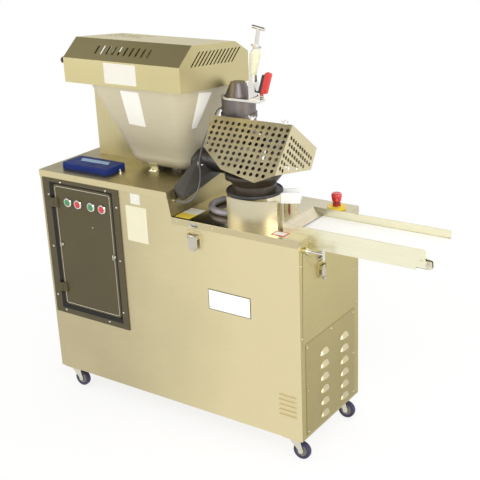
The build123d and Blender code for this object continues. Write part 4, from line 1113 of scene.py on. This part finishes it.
# emergency stop: mushroom head with a finger groove
stop = {
    "at": (342.82, 178.46),
    "profile": [(7.5, 14), (7.5, 30), (17.8, 30.8), (19, 33), (19.2, 40), (20.2, 44), (21.3, 47), (21.3, 58),
                (20, 61.8), (17, 63.6), (13, 63.8), (12, 62.8), (0, 62.4)],
}


def buildStop():
    bm = bmesh.new()
    turn(bm, stop["profile"], (*stop["at"], datum["lowDeck"]), (0, 0, 1), 44)
    addPiece("stopMushroom", bm, "stop_head", "red", instead="stop_head")


buildStop()

# blank plates and cards, each on the sheet that carries it: body, look, corners anticlockwise from outside
plates = {
    "hoodPlate": ("hood", "card", face("Y", datum["front"], (-480, -316), (1480, 1562))),
    "noticePlate": ("cabinet", "cream", face("Y", datum["front"], (-427.5, -317.5), (821, 977))),
    "smallPlate": ("cabinet", "card", face("Y", datum["front"], (-397.5, -347.5), (987, 1032))),
    "hopperPlateFront": ("cabinet", "pale", [(-466.7, -114.9, 1290), (-380.3, -112.6, 1285.7),
                                             (-332.3, -200.1, 1449.8), (-426.2, -200.6, 1450.8)]),
    "hopperPlateRight": ("cabinet", "pale", [(-190, -56, 1285), (-190.9, -20, 1282.6),
                                             (-137.2, 20, 1424.1), (-130.9, -69.6, 1440.8)]),
    "deckPlateLeft": ("cabinet", "twoTone", face("Z", datum["lowDeck"], (-180, -108), (-212, -98))),
    "deckPlateRight": ("cabinet", "redRim", face("Z", datum["lowDeck"], (272, 332), (-203, -160))),
    "caseStrip": ("cabinet", "strip", [(-774, -106, 1090), (-617, -104, 1090), (-635, -71, 1090),
                                       (-793, -72, 1090)]),
    "badgePlate": ("cabinet", "badge", face("Y", datum["front"], (-22.5, 182.5), (597, 686))),
}
rims = {  # fields inside the rim, in metres, and the rim's width
    "badge": ((-0.0225, 0.1825), (0.597, 0.686), 0.003),
    "redRim": ((0.272, 0.332), (-0.203, -0.16), 0.006),
    "twoTone": ((-0.3, 0.1), (-0.162, 0.1), 0),
}


def buildPlates():
    level = ("X", "Y")
    finishes["badge"] = card("badgeCard", (0.86, 0.84, 0.78), (0.03, 0.03, 0.035), rims["badge"])
    finishes["redRim"] = card("redRimCard", (0.78, 0.76, 0.68), (0.55, 0.05, 0.04), rims["redRim"], level)
    finishes["twoTone"] = card("twoToneCard", (0.78, 0.75, 0.62), (0.74, 0.56, 0.06), rims["twoTone"], level)
    finishes["strip"] = plastic("stripBlue", (0.22, 0.36, 0.55), 0.4)
    for name, (body, look, corners) in plates.items():
        bm = bmesh.new()
        slabOn(bm, corners, 0.9, 3, 0.3)
        addPiece(name, bm, body, look)


buildPlates()
print("plates set")

# fittings: edge screws, hopper bracket and deck stud, latch catches, nuts of the tail roller
edges = {
    "lip": [(-159.3, 951.6), (16.2, 951), (-356.8, 1053.1), (-700, 1052)],
    "side": [(195.1, 702.4), (222, 550.1), (222, 862), (-212, 862), (-212, 560)],
    "louvre": [(-178, 510), (8, 514), (194, 510), (-178, 134), (194, 134),
               (-178, 320), (194, 320)],
    "louvreX": 409.5, "screw": (4.2, 2.8),
}
bracket = {"x": (-462, -416), "y": (-26, 2), "lean": ((-6.5, 1066), (-17.5, 1099)), "screws": (-451, -427)}
stud = {"at": (-546.2, -108.6),
        "profile": [(9, 0), (9, 2), (6, 2.5), (6, 8), (3.2, 8.5), (3.2, 17), (2.4, 18), (0, 18)]}
catches = {"x": -75.62, "front": (22, 936, 958), "hook": (16, (-229, 938), (-236, 944)), "screws": 15,
           "frontScrews": (-229.5, 952), "side": ((-86, -43), (842, 872)), "sideY": (-80, -49),
           "sideHook": ((410.3, 846), (417.3, 854)), "sideScrews": (410.5, 865), "screw": (3.5, 2.4)}
tail = {"at": (889.8, 939.3), "ys": (-151.5, 81.5),
        "nut": [(10.5, 0), (10.5, 2.2), (8.5, 2.4), (8.2, 7.2), (5, 8.2), (5, 10.5), (0, 11)]}


def buildEdgeScrews():
    bm = bmesh.new()
    addScrews(bm, [(x, datum["lip"], z) for x, z in edges["lip"]], (0, -1, 0), *edges["screw"])
    addScrews(bm, [(datum["side"], y, z) for y, z in edges["side"]], (1, 0, 0), *edges["screw"])
    addScrews(bm, [(edges["louvreX"], y, z) for y, z in edges["louvre"]], (1, 0, 0), *edges["screw"])
    addPiece("panelScrews", bm, "cabinet", "zinc")


def buildDeckFittings():
    deck = datum["highDeck"]
    bm = bmesh.new()
    slabOn(bm, face("Z", deck, bracket["x"], bracket["y"]), 3, 3)
    (x0, x1), (low, high) = bracket["x"], bracket["lean"]
    slabOn(bm, [(x0, *low), (x1, *low), (x1, *high), (x0, *high)], 3, 3)
    addScrews(bm, [(x, -18, deck + 3) for x in bracket["screws"]], (0, 0, 1), 5, 4)
    turn(bm, stud["profile"], (*stud["at"], deck), (0, 0, 1), 20)
    addPiece("deckFittings", bm, "cabinet", "conveyor")


def buildCatches():
    c = catches
    bm = bmesh.new()
    x = c["x"]
    wide, low, high = c["front"]
    slabOn(bm, face("Y", datum["lip"], (x - wide, x + wide), (low, high)), 2, 3)
    wide, low, high = c["hook"]
    slabOn(bm, [(x - wide, *low), (x + wide, *low), (x + wide, *high), (x - wide, *high)], 2.5, 2)
    places = [(x + dx, *c["frontScrews"]) for dx in (-c["screws"], c["screws"])]
    addScrews(bm, places, (0, -1, 0), *c["screw"], 12)
    slabOn(bm, face("X", datum["side"], *c["side"]), 3, 3)
    (y0, y1), ((x0, z0), (x1, z1)) = c["sideY"], c["sideHook"]
    slabOn(bm, [(x0, y0, z0), (x0, y1, z0), (x1, y1, z1), (x1, y0, z1)], 3, 2)
    x, z = c["sideScrews"]
    addScrews(bm, [(x, y, z) for y in c["sideY"]], (1, 0, 0), *c["screw"], 12)
    addPiece("latchCatches", bm, "cabinet", "nickel")


def buildTailNuts():
    x, z = tail["at"]
    bm = bmesh.new()
    for y in tail["ys"]:
        turn(bm, tail["nut"], (x, y, z), (0, -1 if y < 0 else 1, 0), 6)
    addPiece("tailNuts", bm, "cabinet", "zinc")


buildEdgeScrews()
buildDeckFittings()
buildCatches()
buildTailNuts()
print("fittings built")
